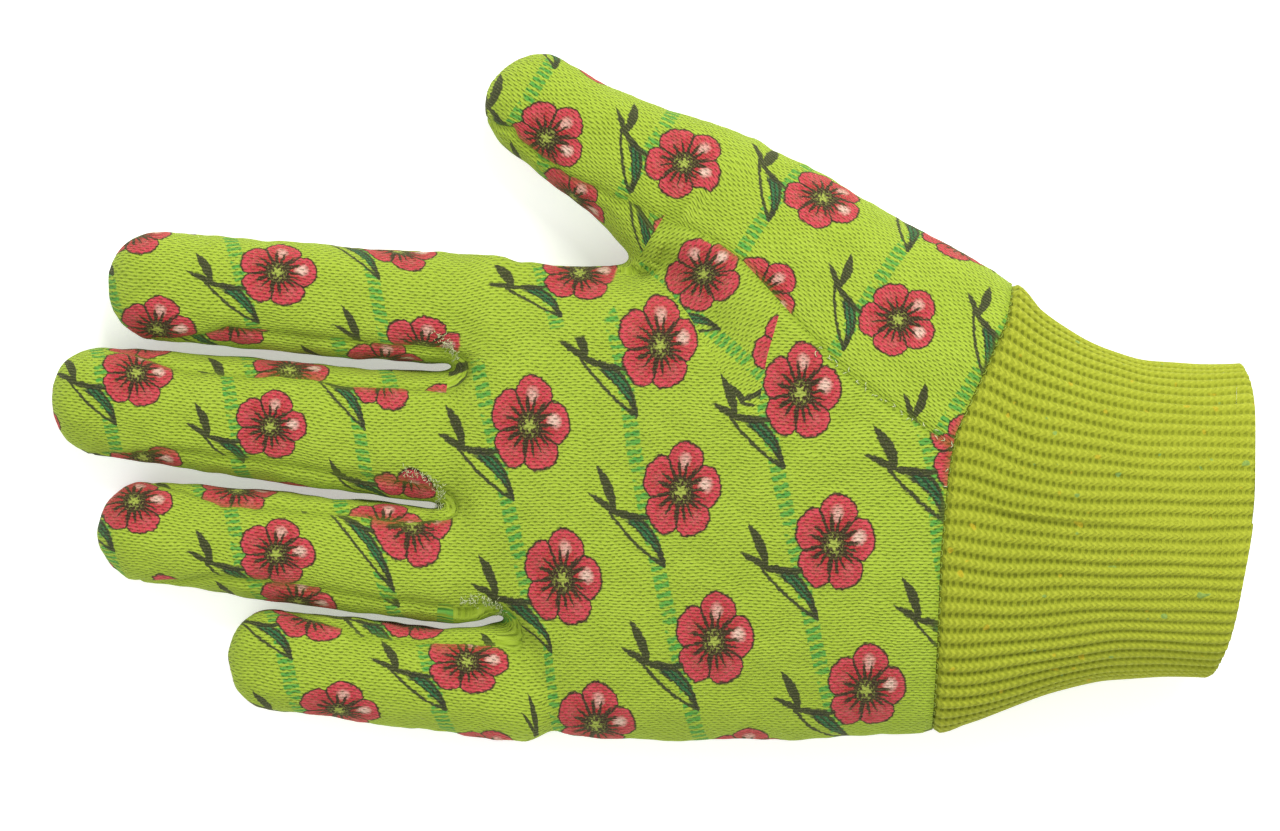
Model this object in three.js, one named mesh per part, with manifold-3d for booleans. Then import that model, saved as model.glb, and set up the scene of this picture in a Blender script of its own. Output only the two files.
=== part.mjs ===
// A right-hand gardening glove lying palm up: a cotton jersey hand with set-in finger sides and
// thumb, sewn to a rib-knit wrist. Every fabric panel is a thin closed solid, and the hollow for
// the hand is left open behind it.
//
// Millimetres. The fingers point along -X, the thumb side is +Y, the palm faces +Z and the back
// of the hand lies on Z = 0. The origin is under the middle of the glove's outline.

import * as THREE from 'three';
import { mergeVertices } from 'three/addons/utils/BufferGeometryUtils.js';
import Module from 'manifold-3d';

const { degToRad, lerp, clamp } = THREE.MathUtils;

// ---------------------------------------------------------------- driving dimensions

const WALL = 1.6; // jersey with its napped inside
const SETTLE = 0.5; // how far the back of the hand is pressed flat where it lies
const GAP = 0.3; // clear space between two sewn panels
const THREAD = 0.8; // width of a line of overlock thread

// Each finger: the root on the crotch line and the far end of the tip, seen from above; half
// width and half height at the root and near the tip; and its folds, measured from the root.
const FINGERS = {
  index: {
    root: [-40, 18.4],
    tip: [-109, 23],
    wide: [11.2, 10.9],
    high: [9.9, 8.8],
    folds: [10, 37],
  },
  middle: {
    root: [-42, -7],
    tip: [-120.4, 1.2],
    wide: [12.1, 11],
    high: [10.1, 9],
    folds: [11, 42],
  },
  ring: {
    root: [-42, -33.2],
    tip: [-111, -26],
    wide: [11.2, 10.3],
    high: [9.9, 8.7],
    folds: [10, 37],
  },
  little: {
    root: [-32, -57.2],
    tip: [-85, -52],
    wide: [10.7, 9.8],
    high: [9.6, 8.4],
    folds: [9, 30],
  },
};
const FINGER_START = -14; // a finger's tube begins this far inside the hand
const FINGER_STATIONS = [0.3, 0.6]; // where its sections lie, as shares of its length
const MIDDLE_RISE = 0.6; // share of the change in height by which a section's middle moves
const TIP_STATIONS = [32, 60, 83].map(degToRad); // sections round the closed end of a limb
const BASE_FOLD = 72; // degrees a finger folds at its root
const MIDDLE_FOLD = 80; // degrees a finger folds at its middle
const FINGER_HINGE_Z = 14.5; // the fold lines lie just under the palm-side fabric

// The narrow side strips let into the fingers: 1 faces the thumb, -1 the outer edge of the hand.
const STRIPS = { index: [-1], middle: [1, -1], ring: [1, -1], little: [1] };
const STRIP_NAMES = { 1: 'thumbward_strip', '-1': 'outer_strip' };
const SIDE_Z = 9.5; // height of the side seams on the fingers
const STRIP_HALF = 4.6; // half the height of a side strip
const TIP_CLOSE = 9; // front and back meet over this last stretch of a finger
const CROTCH_SHIFT = 0.5; // how far that strip lies towards the little finger
const CROTCH_DEPTH = 2; // how far the strip between two fingers reaches behind their roots

// The thumb, from where it leaves the palm. Sections: distance from the root, half width, half
// height, height of the middle.
const THUMB = {
  root: [5, 41.2],
  heading: degToRad(148),
  length: 42.5,
  sections: [
    [-14, 17.5, 13.5, 16],
    [0, 15.6, 12.2, 14.2],
    [9, 13.2, 11, 12.4],
    [19, 11.9, 10, 11],
    [31.5, 11, 9.2, 10],
  ],
  folds: [6.5, 22],
  hingeZ: [19, 15],
  seamZ: 10.5, // the front and back of the thumb meet at this height
  stripZ: [7, 19], // the panel in the thumb's crotch
  tipStripZ: [7, 16], // the narrower strip that runs on up the thumb
  tipClose: 8,
  crotch: [-9, 20], // the crotch panel's reach along the thumb
  crotchWidth: 22,
  crotchY: 30.5, // the hand is cut away for the thumb only above this line
};
const THUMB_BASE_FOLD = 50;
const THUMB_TIP_FOLD = 65;

// Hand: x, low y, high y, height of the palm side, height of the side seam.
const HAND = [
  [-42, -42, 28.6, 20.6, 9.8],
  [-36, -52, 29, 21.8, 10],
  [-31, -66, 29.2, 23, 10.4],
  [-20, -68.2, 28.8, 25.5, 11.3],
  [-4, -68.6, 29.6, 28.5, 12.5],
  [5, -68.6, 41, 31, 13.2],
  [14, -68.6, 53.6, 33.5, 14],
  [26, -68.3, 48.6, 35.5, 15],
  [40, -67.8, 41.2, 36.5, 16],
  [54, -67, 33, 36.2, 17],
  [74, -66, 24, 36, 18],
];
const SEAM_SLOPE = 0.075; // the panels of the hand meet on a plane that climbs towards the wrist

// The seam of the thumb piece, from the thumb's crotch across the heel of the hand to the wrist.
const THUMB_SEAM = [
  [-14, 42],
  [2, 33.5],
  [9.5, 30.5],
  [17.7, 26.5],
  [29.3, 14.1],
  [37.5, 5.1],
  [46, -1],
  [58, -9],
  [76, -18],
];
const THUMB_SIDE = [[76, 90], [-60, 90]]; // closes the seam line round the thumb's side

// Wrist: the seam crosses the hand at WRIST_X, slanting by WRIST_TILT. Cuff sections: distance
// from the seam, middle y, half width, height of the middle, half height.
const WRIST_X = 62;
const WRIST_TILT = degToRad(7);
const CUFF_WALL = 1.8;
const HEM_WALL = 2.8; // the hem is the knit folded double
const CUFF = [
  [-4, -21.8, 42, 17.6, 14.9],
  [5.8, -22, 42, 17.8, 14.9],
  [7, -22.3, 42.6, 18.6, 17.8],
  [14, -23, 39.6, 19.2, 18.9],
  [24, -24, 35, 20.2, 19.8],
  [34, -24.5, 31.8, 21, 20.6],
  [46, -24.6, 31, 21.2, 20.9],
  [54, -24.6, 31.2, 21.3, 21],
];
const HEM = [
  [54.3, -24.6, 31.6, 21.5, 21.2],
  [56, -24.6, 32, 21.6, 21.6],
  [57.6, -24.6, 31.5, 21.5, 21.2],
];

const UPPER_POWER = 2.3; // how square a section is above its middle, where 2 is an ellipse
const LOWER_POWER = 2.7;
const FINGER_SIDES = 14;
const THUMB_SIDES = 16;
const HAND_SIDES = 28;
const CUFF_SIDES = 32;
const CLEAR = 60; // further than any part of a limb reaches from its axis

const LIME = 0xb4cf34;
const CUFF_LIME = 0xb3bd35;
const WHITE = 0xe9e8dc;

// ---------------------------------------------------------------- solids

const wasm = await Module();
wasm.setup();

function toSolid(geometry) {
  const bare = geometry.clone();
  bare.deleteAttribute('normal');
  bare.deleteAttribute('uv');
  const merged = mergeVertices(bare, 1e-5);
  return new wasm.Manifold(new wasm.Mesh({
    numProp: 3,
    vertProperties: new Float32Array(merged.attributes.position.array),
    triVerts: new Uint32Array(merged.index.array),
  }));
}

function toGeometry(solid) {
  const mesh = solid.getMesh();
  const geometry = new THREE.BufferGeometry();
  geometry.setAttribute('position', new THREE.BufferAttribute(mesh.vertProperties, mesh.numProp));
  geometry.setIndex(new THREE.BufferAttribute(mesh.triVerts, 1));
  return geometry;
}

const join = (solids) => solids.reduce((sum, solid) => sum.add(solid));
const cut = (solid, ...tools) => tools.reduce((left, tool) => left.subtract(tool), solid);

// A closed skin over a row of rings that all have the same number of points.
function loft(rings) {
  const count = rings[0].length;
  const last = rings.length - 1;
  const points = rings.flat();
  const faces = [];
  for (let i = 0; i < last; i += 1) {
    for (let j = 0; j < count; j += 1) {
      const k = (j + 1) % count;
      const [a, b, c, d] = [i * count + j, i * count + k, (i + 1) * count + k, (i + 1) * count + j];
      faces.push([a, c, b], [a, d, c]);
    }
  }
  for (const end of [0, last]) {
    const hub = points.length;
    points.push(rings[end].reduce((sum, p) => sum.add(p), new THREE.Vector3()).divideScalar(count));
    for (let j = 0; j < count; j += 1) {
      const [a, b] = [end * count + j, end * count + ((j + 1) % count)];
      faces.push(end === 0 ? [hub, a, b] : [hub, b, a]);
    }
  }
  const build = (order) => {
    const geometry = new THREE.BufferGeometry().setFromPoints(points);
    geometry.setIndex(faces.flatMap(([a, b, c]) => (order ? [a, b, c] : [a, c, b])));
    return toSolid(geometry);
  };
  const solid = build(true);
  return solid.volume() > 0 ? solid : build(false);
}

// A ring of points in the upright plane square to a heading, rounder above than below.
function ring(middle, heading, halfWidth, up, down, count) {
  const across = new THREE.Vector3(-Math.sin(heading), Math.cos(heading), 0);
  return Array.from({ length: count }, (_, j) => {
    const angle = (2 * Math.PI * j) / count;
    const [c, s] = [Math.cos(angle), Math.sin(angle)];
    const power = 2 / (s > 0 ? UPPER_POWER : LOWER_POWER);
    const side = halfWidth * Math.sign(c) * Math.abs(c) ** power;
    const rise = (s > 0 ? up : -down) * Math.abs(s) ** power;
    return middle.clone().addScaledVector(across, side).setZ(middle.z + rise);
  });
}

// A box that covers everything on the side of a plane that its normal points to.
function halfSpace(point, normal) {
  const size = 400;
  const box = new THREE.BoxGeometry(size, size, size).translate(0, 0, size / 2);
  const up = new THREE.Vector3(0, 0, 1);
  const turn = new THREE.Quaternion().setFromUnitVectors(up, normal.clone().normalize());
  return toSolid(box.applyQuaternion(turn).translate(point.x, point.y, point.z));
}

// An upright wall that follows a line of points seen from above.
function curtain(line, width) {
  const left = [];
  const right = [];
  line.forEach(([x, y], i) => {
    const [x0, y0] = line[Math.max(i - 1, 0)];
    const [x1, y1] = line[Math.min(i + 1, line.length - 1)];
    const half = width / 2 / Math.hypot(x1 - x0, y1 - y0);
    left.push(new THREE.Vector2(x - (y1 - y0) * half, y + (x1 - x0) * half));
    right.unshift(new THREE.Vector2(x + (y1 - y0) * half, y - (x1 - x0) * half));
  });
  return upright([...left, ...right]);
}

function upright(outline) {
  const shape = new THREE.Shape(outline.map((p) => new THREE.Vector2(p.x, p.y)));
  const wall = new THREE.ExtrudeGeometry(shape, { depth: 2 * CLEAR, bevelEnabled: false });
  return toSolid(wall.translate(0, 0, -CLEAR));
}

// ---------------------------------------------------------------- limbs

// A limb runs from its root along a heading in the ground plane.
function limb(root, heading, length) {
  const along = new THREE.Vector3(Math.cos(heading), Math.sin(heading), 0);
  const at = (distance, z) => new THREE.Vector3(root[0], root[1], z).addScaledVector(along, distance);
  return { root, heading, length, along, at };
}

// A box in a limb's own axes: along it, across it (positive is away from the thumb) and up.
function limbBox(l, [s0, s1], [y0, y1], [z0, z1]) {
  const box = new THREE.BoxGeometry(s1 - s0, y1 - y0, z1 - z0);
  box.translate((s0 + s1) / 2, (y0 + y1) / 2, (z0 + z1) / 2).rotateZ(l.heading);
  return toSolid(box.translate(l.root[0], l.root[1], 0));
}

// The room for a fold: square below the hinge and sloped away above it. keep is 1 for the piece
// beyond the fold and -1 for the piece before it.
function trimAtFold(solid, l, distance, hingeZ, degrees, keep) {
  const half = degToRad(degrees / 2 + 1);
  const hinge = l.at(distance + (keep * GAP) / 2, hingeZ);
  const square = l.along.clone().multiplyScalar(-keep);
  const sloped = square.clone().multiplyScalar(Math.cos(half)).setZ(Math.sin(half));
  return cut(solid, halfSpace(hinge, square), halfSpace(hinge, sloped));
}

function fingerTube(spec, l, inset) {
  const cap = spec.wide[1] - inset;
  const reach = l.length - inset;
  const stations = FINGER_STATIONS.map((share) => l.length * share);
  const straight = [FINGER_START, ...stations, reach - cap].map((s) => [s, 1]);
  const round = TIP_STATIONS.map((a) => [reach - cap + cap * Math.sin(a), Math.cos(a)]);
  return loft([...straight, ...round].map(([s, shrink]) => {
    const t = clamp(s / l.length, 0, 1);
    const high = lerp(...spec.high, t);
    const middle = l.at(s, lerp(SIDE_Z, high, MIDDLE_RISE));
    const halfWidth = (lerp(...spec.wide, t) - inset) * shrink;
    const up = (high - inset) * shrink;
    const down = (Math.min(high, SIDE_Z) - inset) * shrink;
    return ring(middle, l.heading, halfWidth, up, down, FINGER_SIDES);
  }));
}

function thumbTube(l, inset) {
  const [s0, wide, high, z] = THUMB.sections[THUMB.sections.length - 1];
  const cap = l.length - inset - s0;
  const rows = THUMB.sections.map(([s, w, h, mid]) => [s, w - inset, h - inset, mid]);
  for (const a of TIP_STATIONS) {
    const shrink = Math.cos(a);
    rows.push([s0 + cap * Math.sin(a), (wide - inset) * shrink, (high - inset) * shrink, z]);
  }
  return loft(rows.map(([s, w, h, mid]) => ring(l.at(s, mid), l.heading, w, h, h, THUMB_SIDES)));
}

// Splits a stretch of a finger or thumb into its front, its back and its side strips.
function splitLimb(shell, l, stripSides, seamZ, [stripLow, stripHigh], stripEnd) {
  const up = new THREE.Vector3(0, 0, 1);
  const down = new THREE.Vector3(0, 0, -1);
  const pieces = {
    front: cut(shell, halfSpace(new THREE.Vector3(0, 0, seamZ + GAP / 2), down)),
    back: cut(shell, halfSpace(new THREE.Vector3(0, 0, seamZ - GAP / 2), up)),
  };
  for (const side of stripSides) {
    const across = side === 1 ? [-CLEAR, 0] : [0, CLEAR];
    const stripBox = limbBox(l, [-CLEAR, stripEnd], across, [stripLow, stripHigh]);
    pieces[STRIP_NAMES[side]] = shell.intersect(stripBox);
    const room = limbBox(l, [-CLEAR, stripEnd + GAP], across, [stripLow - GAP, stripHigh + GAP]);
    pieces.front = cut(pieces.front, room);
    pieces.back = cut(pieces.back, room);
  }
  return pieces;
}

// ---------------------------------------------------------------- hand and cuff

function handBody(inset) {
  return loft(HAND.map(([x, low, high, top, side], i) => {
    const middle = new THREE.Vector3(i === 0 ? x + inset : x, (low + high) / 2, side);
    const halfWidth = (high - low) / 2 - inset;
    return ring(middle, 0, halfWidth, top - side - inset, side + SETTLE - inset, HAND_SIDES);
  }));
}

function cuffTube(rows, inset) {
  return loft(rows.map(([s, y, wide, z, high]) => {
    const middle = new THREE.Vector3(0, y, z);
    const flat = ring(middle, 0, wide - inset, high - inset, high - inset, CUFF_SIDES);
    return flat.map((p) => p.setX(WRIST_X + s + p.y * Math.tan(WRIST_TILT)));
  }));
}

// An open tube: the inner skin runs past both ends of the outer one.
function openCuff(rows, wall) {
  const [first, last] = [rows[0], rows[rows.length - 1]];
  const longer = [[first[0] - 1, ...first.slice(1)], ...rows, [last[0] + 1, ...last.slice(1)]];
  return cut(cuffTube(rows, 0), cuffTube(longer, wall));
}

// ---------------------------------------------------------------- assembly

const glove = new THREE.Group();

function addPiece(name, solid, color, roughness = 0.95) {
  const material = new THREE.MeshStandardMaterial({ color, roughness, metalness: 0 });
  const piece = new THREE.Mesh(toGeometry(solid), material);
  piece.name = name;
  glove.add(piece);
}

function addPieces(prefix, pieces) {
  for (const [name, solid] of Object.entries(pieces)) {
    addPiece(`${prefix}_${name}`, solid, LIME);
  }
}

const limbs = {};
const outers = {};
const inners = {};
for (const [name, spec] of Object.entries(FINGERS)) {
  const [dx, dy] = [spec.tip[0] - spec.root[0], spec.tip[1] - spec.root[1]];
  limbs[name] = limb(spec.root, Math.atan2(dy, dx), Math.hypot(dx, dy));
  outers[name] = fingerTube(spec, limbs[name], 0);
  inners[name] = fingerTube(spec, limbs[name], WALL);
}
limbs.thumb = limb(THUMB.root, THUMB.heading, THUMB.length);
outers.thumb = thumbTube(limbs.thumb, 0);
inners.thumb = thumbTube(limbs.thumb, WALL);

// The hand's shell takes in the short stub of each finger and of the thumb, up to its first fold.
const stubs = Object.entries(FINGERS).map(([name, spec]) => (
  trimAtFold(outers[name], limbs[name], spec.folds[0], FINGER_HINGE_Z, BASE_FOLD, -1)));
const [thumbBase, thumbTip] = THUMB.folds;
const [thumbBaseZ, thumbTipZ] = THUMB.hingeZ;
const thumbStub = trimAtFold(outers.thumb, limbs.thumb, thumbBase, thumbBaseZ, THUMB_BASE_FOLD, -1);
const beyondThumb = cut(
  halfSpace(limbs.thumb.at(0, 0), limbs.thumb.along),
  halfSpace(new THREE.Vector3(0, THUMB.crotchY, 0), new THREE.Vector3(0, -1, 0)),
);
const palmBlock = cut(handBody(0), beyondThumb);
const wristNormal = new THREE.Vector3(Math.cos(WRIST_TILT), -Math.sin(WRIST_TILT), 0);
const atWrist = (s) => halfSpace(new THREE.Vector3(WRIST_X + s, 0, 0), wristNormal);
const underGround = halfSpace(new THREE.Vector3(), new THREE.Vector3(0, 0, -1));
const handShell = cut(
  join([palmBlock, ...stubs, thumbStub]),
  handBody(WALL),
  ...Object.values(inners),
  atWrist(0),
  underGround,
);

// Side seam of the hand: a plane that climbs towards the wrist.
const seamPoint = new THREE.Vector3(HAND[0][0], 0, SIDE_Z);
const seamUp = new THREE.Vector3(-SEAM_SLOPE, 0, 1).normalize();
const above = halfSpace(seamPoint.clone().addScaledVector(seamUp, GAP / 2), seamUp);
const below = halfSpace(seamPoint.clone().addScaledVector(seamUp, -GAP / 2), seamUp.clone().negate());

// The strips between the fingers go round each crotch in one piece.
const neighbours = [['index', 'middle'], ['middle', 'ring'], ['ring', 'little']];
const stripZ = [SIDE_Z - STRIP_HALF, SIDE_Z + STRIP_HALF];
function crotchRoom([a, b], grow, [z0, z1]) {
  const [upper, lower] = [FINGERS[a].root, FINGERS[b].root];
  const x = Math.max(upper[0], lower[0]) + CROTCH_DEPTH + grow;
  const box = new THREE.BoxGeometry(CLEAR, upper[1] - lower[1], z1 - z0);
  const middle = (lower[1] + upper[1]) / 2 - CROTCH_SHIFT;
  return toSolid(box.translate(x - CLEAR / 2, middle, (z0 + z1) / 2));
}
const crotchRooms = neighbours.map((pair) => (
  crotchRoom(pair, GAP, [stripZ[0] - GAP, stripZ[1] + THREAD + 2 * GAP])));

const [crotchStart, crotchEnd] = THUMB.crotch;
const [crotchLow, crotchHigh] = THUMB.stripZ;
function thumbCrotchRoom(grow) {
  const reach = [crotchStart - grow, crotchEnd];
  return limbBox(limbs.thumb, reach, [0, THUMB.crotchWidth], [crotchLow - grow, crotchHigh + grow]);
}
const thumbRoom = thumbCrotchRoom(0);
const thumbRoomGrown = thumbCrotchRoom(GAP);

const goreSide = upright([...THUMB_SEAM, ...THUMB_SIDE].map(([x, y]) => ({ x, y })));
const seamGroove = curtain(THUMB_SEAM, THREAD + 2 * GAP);
const wristGroove = atWrist(-THREAD - GAP);
const palmSide = cut(handShell.intersect(above), wristGroove, thumbRoomGrown, ...crotchRooms);

addPiece('palm_panel', cut(palmSide, goreSide, seamGroove), LIME);
addPiece('thumb_heel_panel', cut(palmSide.intersect(goreSide), seamGroove), LIME);
addPiece('back_panel', cut(handShell.intersect(below), wristGroove, thumbRoomGrown, ...crotchRooms), LIME);
addPiece('thumb_crotch_panel', cut(handShell.intersect(thumbRoom), wristGroove), LIME);
const seamThread = handShell.intersect(above).intersect(curtain(THUMB_SEAM, THREAD));
addPiece('thumb_seam_thread', cut(seamThread, wristGroove, thumbRoomGrown), WHITE);
addPiece('wrist_seam_thread', handShell.intersect(atWrist(-THREAD)), WHITE);
for (const pair of neighbours) {
  const name = pair.join('_');
  addPiece(`${name}_crotch_strip`, handShell.intersect(crotchRoom(pair, 0, stripZ)), LIME);
  const threadZ = [stripZ[1] + GAP, stripZ[1] + GAP + THREAD];
  addPiece(`${name}_crotch_thread`, handShell.intersect(crotchRoom(pair, 0, threadZ)), WHITE);
}

for (const [name, spec] of Object.entries(FINGERS)) {
  const l = limbs[name];
  const tube = cut(outers[name], inners[name]);
  const [baseFold, middleFold] = spec.folds;
  const beyondBase = trimAtFold(tube, l, baseFold, FINGER_HINGE_Z, BASE_FOLD, 1);
  const near = trimAtFold(beyondBase, l, middleFold, FINGER_HINGE_Z, MIDDLE_FOLD, -1);
  const far = trimAtFold(tube, l, middleFold, FINGER_HINGE_Z, MIDDLE_FOLD, 1);
  for (const [stretch, shell] of [['near', near], ['far', far]]) {
    const pieces = splitLimb(shell, l, STRIPS[name], SIDE_Z, stripZ, l.length - TIP_CLOSE);
    addPieces(`${name}_${stretch}`, pieces);
  }
}

const thumbShell = cut(outers.thumb, inners.thumb);
const thumbBeyondBase = trimAtFold(thumbShell, limbs.thumb, thumbBase, thumbBaseZ, THUMB_BASE_FOLD, 1);
const thumbNear = trimAtFold(thumbBeyondBase, limbs.thumb, thumbTip, thumbTipZ, THUMB_TIP_FOLD, -1);
const thumbFar = trimAtFold(thumbShell, limbs.thumb, thumbTip, thumbTipZ, THUMB_TIP_FOLD, 1);
for (const [stretch, shell] of [['near', thumbNear], ['far', thumbFar]]) {
  const stripEnd = THUMB.length - THUMB.tipClose;
  const pieces = splitLimb(shell, limbs.thumb, [-1], THUMB.seamZ, THUMB.tipStripZ, stripEnd);
  pieces.inner_strip = pieces[STRIP_NAMES[-1]];
  delete pieces[STRIP_NAMES[-1]];
  addPieces(`thumb_${stretch}`, pieces);
}

addPiece('rib_cuff', openCuff(CUFF, CUFF_WALL), CUFF_LIME);
addPiece('cuff_hem', openCuff(HEM, HEM_WALL), CUFF_LIME);

export default glove;
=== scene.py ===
"""A right-hand gardening glove, palm up: printed jersey hand and fingers, rib-knit wrist.

The hand is one closed skin, worked out as a smooth union of rounded limbs, then cut along its
seams and folds into the sewn panels. Lengths are millimetres until a mesh is made.
"""

import math

import bpy
import numpy as np
import openvdb as vdb
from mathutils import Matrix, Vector
from mathutils.bvhtree import BVHTree


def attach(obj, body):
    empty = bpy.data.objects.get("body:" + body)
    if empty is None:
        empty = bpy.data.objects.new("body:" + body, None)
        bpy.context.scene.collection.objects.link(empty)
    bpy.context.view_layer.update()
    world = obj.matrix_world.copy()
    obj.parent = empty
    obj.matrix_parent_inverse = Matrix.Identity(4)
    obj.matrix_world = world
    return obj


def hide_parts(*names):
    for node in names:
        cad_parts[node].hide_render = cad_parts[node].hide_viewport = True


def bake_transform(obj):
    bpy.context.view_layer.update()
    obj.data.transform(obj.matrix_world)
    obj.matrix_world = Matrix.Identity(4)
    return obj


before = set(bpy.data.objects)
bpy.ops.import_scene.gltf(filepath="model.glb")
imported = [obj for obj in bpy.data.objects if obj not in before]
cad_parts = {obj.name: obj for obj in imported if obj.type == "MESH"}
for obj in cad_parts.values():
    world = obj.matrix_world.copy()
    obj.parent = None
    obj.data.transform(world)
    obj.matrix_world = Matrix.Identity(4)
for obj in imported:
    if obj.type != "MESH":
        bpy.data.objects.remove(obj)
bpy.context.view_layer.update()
MM = 0.001

# ------------------------------------------------------------------ dimensions of the glove

SIDE_Z = 9.5  # height of a finger's side seams
FINGERS = {
    "index": dict(root=(-40, 18.4), tip=(-109.5, 23), high=(9.9, 8.8)),
    "middle": dict(root=(-42, -7), tip=(-120.8, 1.2), high=(10.1, 9)),
    "ring": dict(root=(-42, -33.2), tip=(-111.4, -26), high=(9.9, 8.7)),
    "little": dict(root=(-32, -57.2), tip=(-85.4, -52), high=(9.6, 8.4)),
}
# how far each side of a finger stands off the line from its root to its tip, at those two ends
THUMBWARD_REACH = {"index": (10.5, 11), "middle": (12, 10), "ring": (12.5, 10), "little": (12, 10.5)}
OUTER_REACH = {"index": (13, 10.5), "middle": (15, 11), "ring": (12.5, 9.5), "little": (11.5, 9.5)}
# where each limb is divided into near and far panels, and two stretches along it, base and middle; the limb
# is cut from the hand where base starts
FOLDS = {
    "index": dict(split=23, base=(0, 20), middle=(26, 48)),
    "middle": dict(split=26.5, base=(0, 22), middle=(31, 53)),
    "ring": dict(split=23, base=(0, 20), middle=(26, 48)),
    "little": dict(split=19.5, base=(0, 18), middle=(21, 39)),
    "thumb": dict(split=14, base=(-0.5, 13.5), middle=(14.5, 29.5)),
}
# each limb's side strips, and the side they are on: 1 towards the thumb, -1 away from it
STRIPS = {
    "index": {"outer_strip": -1},
    "middle": {"thumbward_strip": 1, "outer_strip": -1},
    "ring": {"thumbward_strip": 1, "outer_strip": -1},
    "little": {"thumbward_strip": 1},
    "thumb": {"inner_strip": -1},
}
STRIP_REACH = 7.5  # half the height of a side strip between the fingers
STRIP_END = 9.0  # how far short of the fingertip a side strip stops
FINGER_SEAM_Z = 9.7  # height of the middle of the side strips at the roots
CROTCH_BOTTOM, CROTCH_TOP = 2.2, 17.2  # the strips round the forks

THUMB_ROOT = (5, 41.2)
THUMB_HEADING = math.radians(148)
THUMB_LENGTH = 43.4
THUMB_CAP = 11.2
THUMB_ROWS = [  # distance from the root, outer and inner reach, half height, height of the middle
    (-14, 17.5, 17.5, 13.5, 16),
    (0, 16, 16.5, 12.2, 14.2),
    (9, 13.2, 13, 11, 12.4),
    (19, 11.2, 12.4, 10, 11),
    (31.5, 10.5, 11, 9.2, 10),
]
THUMB_SEAM_INSET = [(-9.5, 6.7), (4, 8.0), (20.8, 9.1), (32.7, 8.3), (38, 5), (42, 0)]
THUMB_SEAM = [
    (-14, 42), (2, 35), (7.5, 33.4), (12.5, 30.8), (17.7, 27),
    (29.3, 14.1), (37.5, 5.1), (46, -1), (58, -9), (76, -18),
]
GUSSET_EDGE = [(-12, 36), (-4.9, 28.5), (2, 22.5), (7, 16.5), (12, 8), (16, 1), (18.5, -3.5)]
GUSSET_BACK = [(17, -4), (21, -1), (22.5, 8), (25.5, 18.5), (28, 27)]

HAND = [  # x, low y, high y, height of the palm side, height of the side seam
    (-42, -39, 27.4, 20.6, 9.8),
    (-34, -43, 27.3, 21.8, 10),
    (-27, -59, 27.4, 23.4, 10.4),
    (-19, -68.3, 27, 25.5, 11.3),
    (-8, -68.6, 26.3, 28, 12.2),
    (-4, -68.6, 26, 28.5, 12.5),
    (5, -68.6, 36.5, 31, 13.2),
    (14, -68.6, 53.6, 33.5, 14),
    (26, -68.3, 48.6, 35.5, 15),
    (40, -67.8, 41.2, 36.5, 16),
    (54, -67, 33, 36.2, 17),
    (64, -66.5, 27.6, 36.1, 17.5),
    (74, -66, 21.4, 36, 18),
]
SEAM_SLOPE = 0.075
# the middle of the thin gap between neighbouring fingers, from the fork to the tips
FINGER_GAP = 0.55  # half the gap's width
GAP_EDGE = 1.2  # how far the cloth rounds over at the gap
FINGER_GAPS = {
    ("index", "middle"): [
        (-30, 7.8), (-42, 6.6), (-60, 6.8), (-80, 8.8), (-100, 10.5), (-125, 12.5),
    ],
    ("middle", "ring"): [
        (-30, -22.3), (-44, -21.8), (-55, -20.4), (-64, -19.6), (-80, -17.5), (-112, -13.5),
    ],
    ("ring", "little"): [
        (-24, -41.5), (-30, -42.6), (-34, -45.2), (-42, -46), (-60, -43.7), (-75, -42), (-110, -39),
    ],
}
HAND_FRONT = [(-50, -28), (-44, -31), (-36, -41), (-8, -42), (8, -39), (26, -39)]  # y, x of the web
WRIST_SEAM = [  # y and x
    (-70, 55.3), (-64, 55.5), (-31, 56.5), (-15, 58), (-7, 59.5),
    (4.9, 65.1), (15.3, 69.9), (22.7, 71.5), (40, 73),
]
WRIST_X = 62  # where the wrist plane crosses the middle line
WRIST_TILT = math.radians(7)
CUFF = [  # distance from the wrist plane, middle y, half width, height of the middle, half height
    (-10, -19.3, 47.6, 17.8, 18.2),
    (0, -19.5, 47.4, 18.1, 18.1),
    (4, -20.3, 46.2, 18.4, 18.0),
    (7, -21.3, 43.9, 18.7, 18.1),
    (10, -22.2, 41.9, 18.9, 18.4),
    (14, -23, 39.6, 19.2, 18.9),
    (24, -24, 35, 20.2, 19.8),
    (34, -24.5, 31.8, 21, 20.6),
    (46, -24.6, 31, 21.2, 20.9),
    (54, -24.6, 31.2, 21.3, 21),
    (60, -24.6, 31.6, 21.5, 21.2),
]
CUFF_END = 57.2
HEM_START = 52.8
RIBS = 72
JERSEY_WALL = 1.2
UPPER_POWER = 2.3  # how square a section is above its side seams, and below them
LOWER_POWER = 2.7
FINGER_JOIN, HAND_JOIN, THUMB_JOIN = 0.9, 4.0, 2.0  # how softly the limbs run into each other
HIDDEN_END, THUMB_HIDDEN_END = -6.0, -8.0  # where a limb begins to close inside the hand
REST_LEVEL, REST_EDGE = 0.12, 1.6  # the flat under the back of the hand, and its rounding

# ------------------------------------------------------------------ small tools


def ease(t):
    t = np.clip(t, 0, 1)
    return t * t * (3 - 2 * t)


def bump(t):
    return np.exp(-0.5 * t * t)


def unit(v):
    return v / np.maximum(np.linalg.norm(v, axis=-1), 1e-9)[..., None]


def read_off(at, table):
    """Straight-line values from a table of two columns."""
    return np.interp(at, *np.array(table, float).T)


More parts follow.
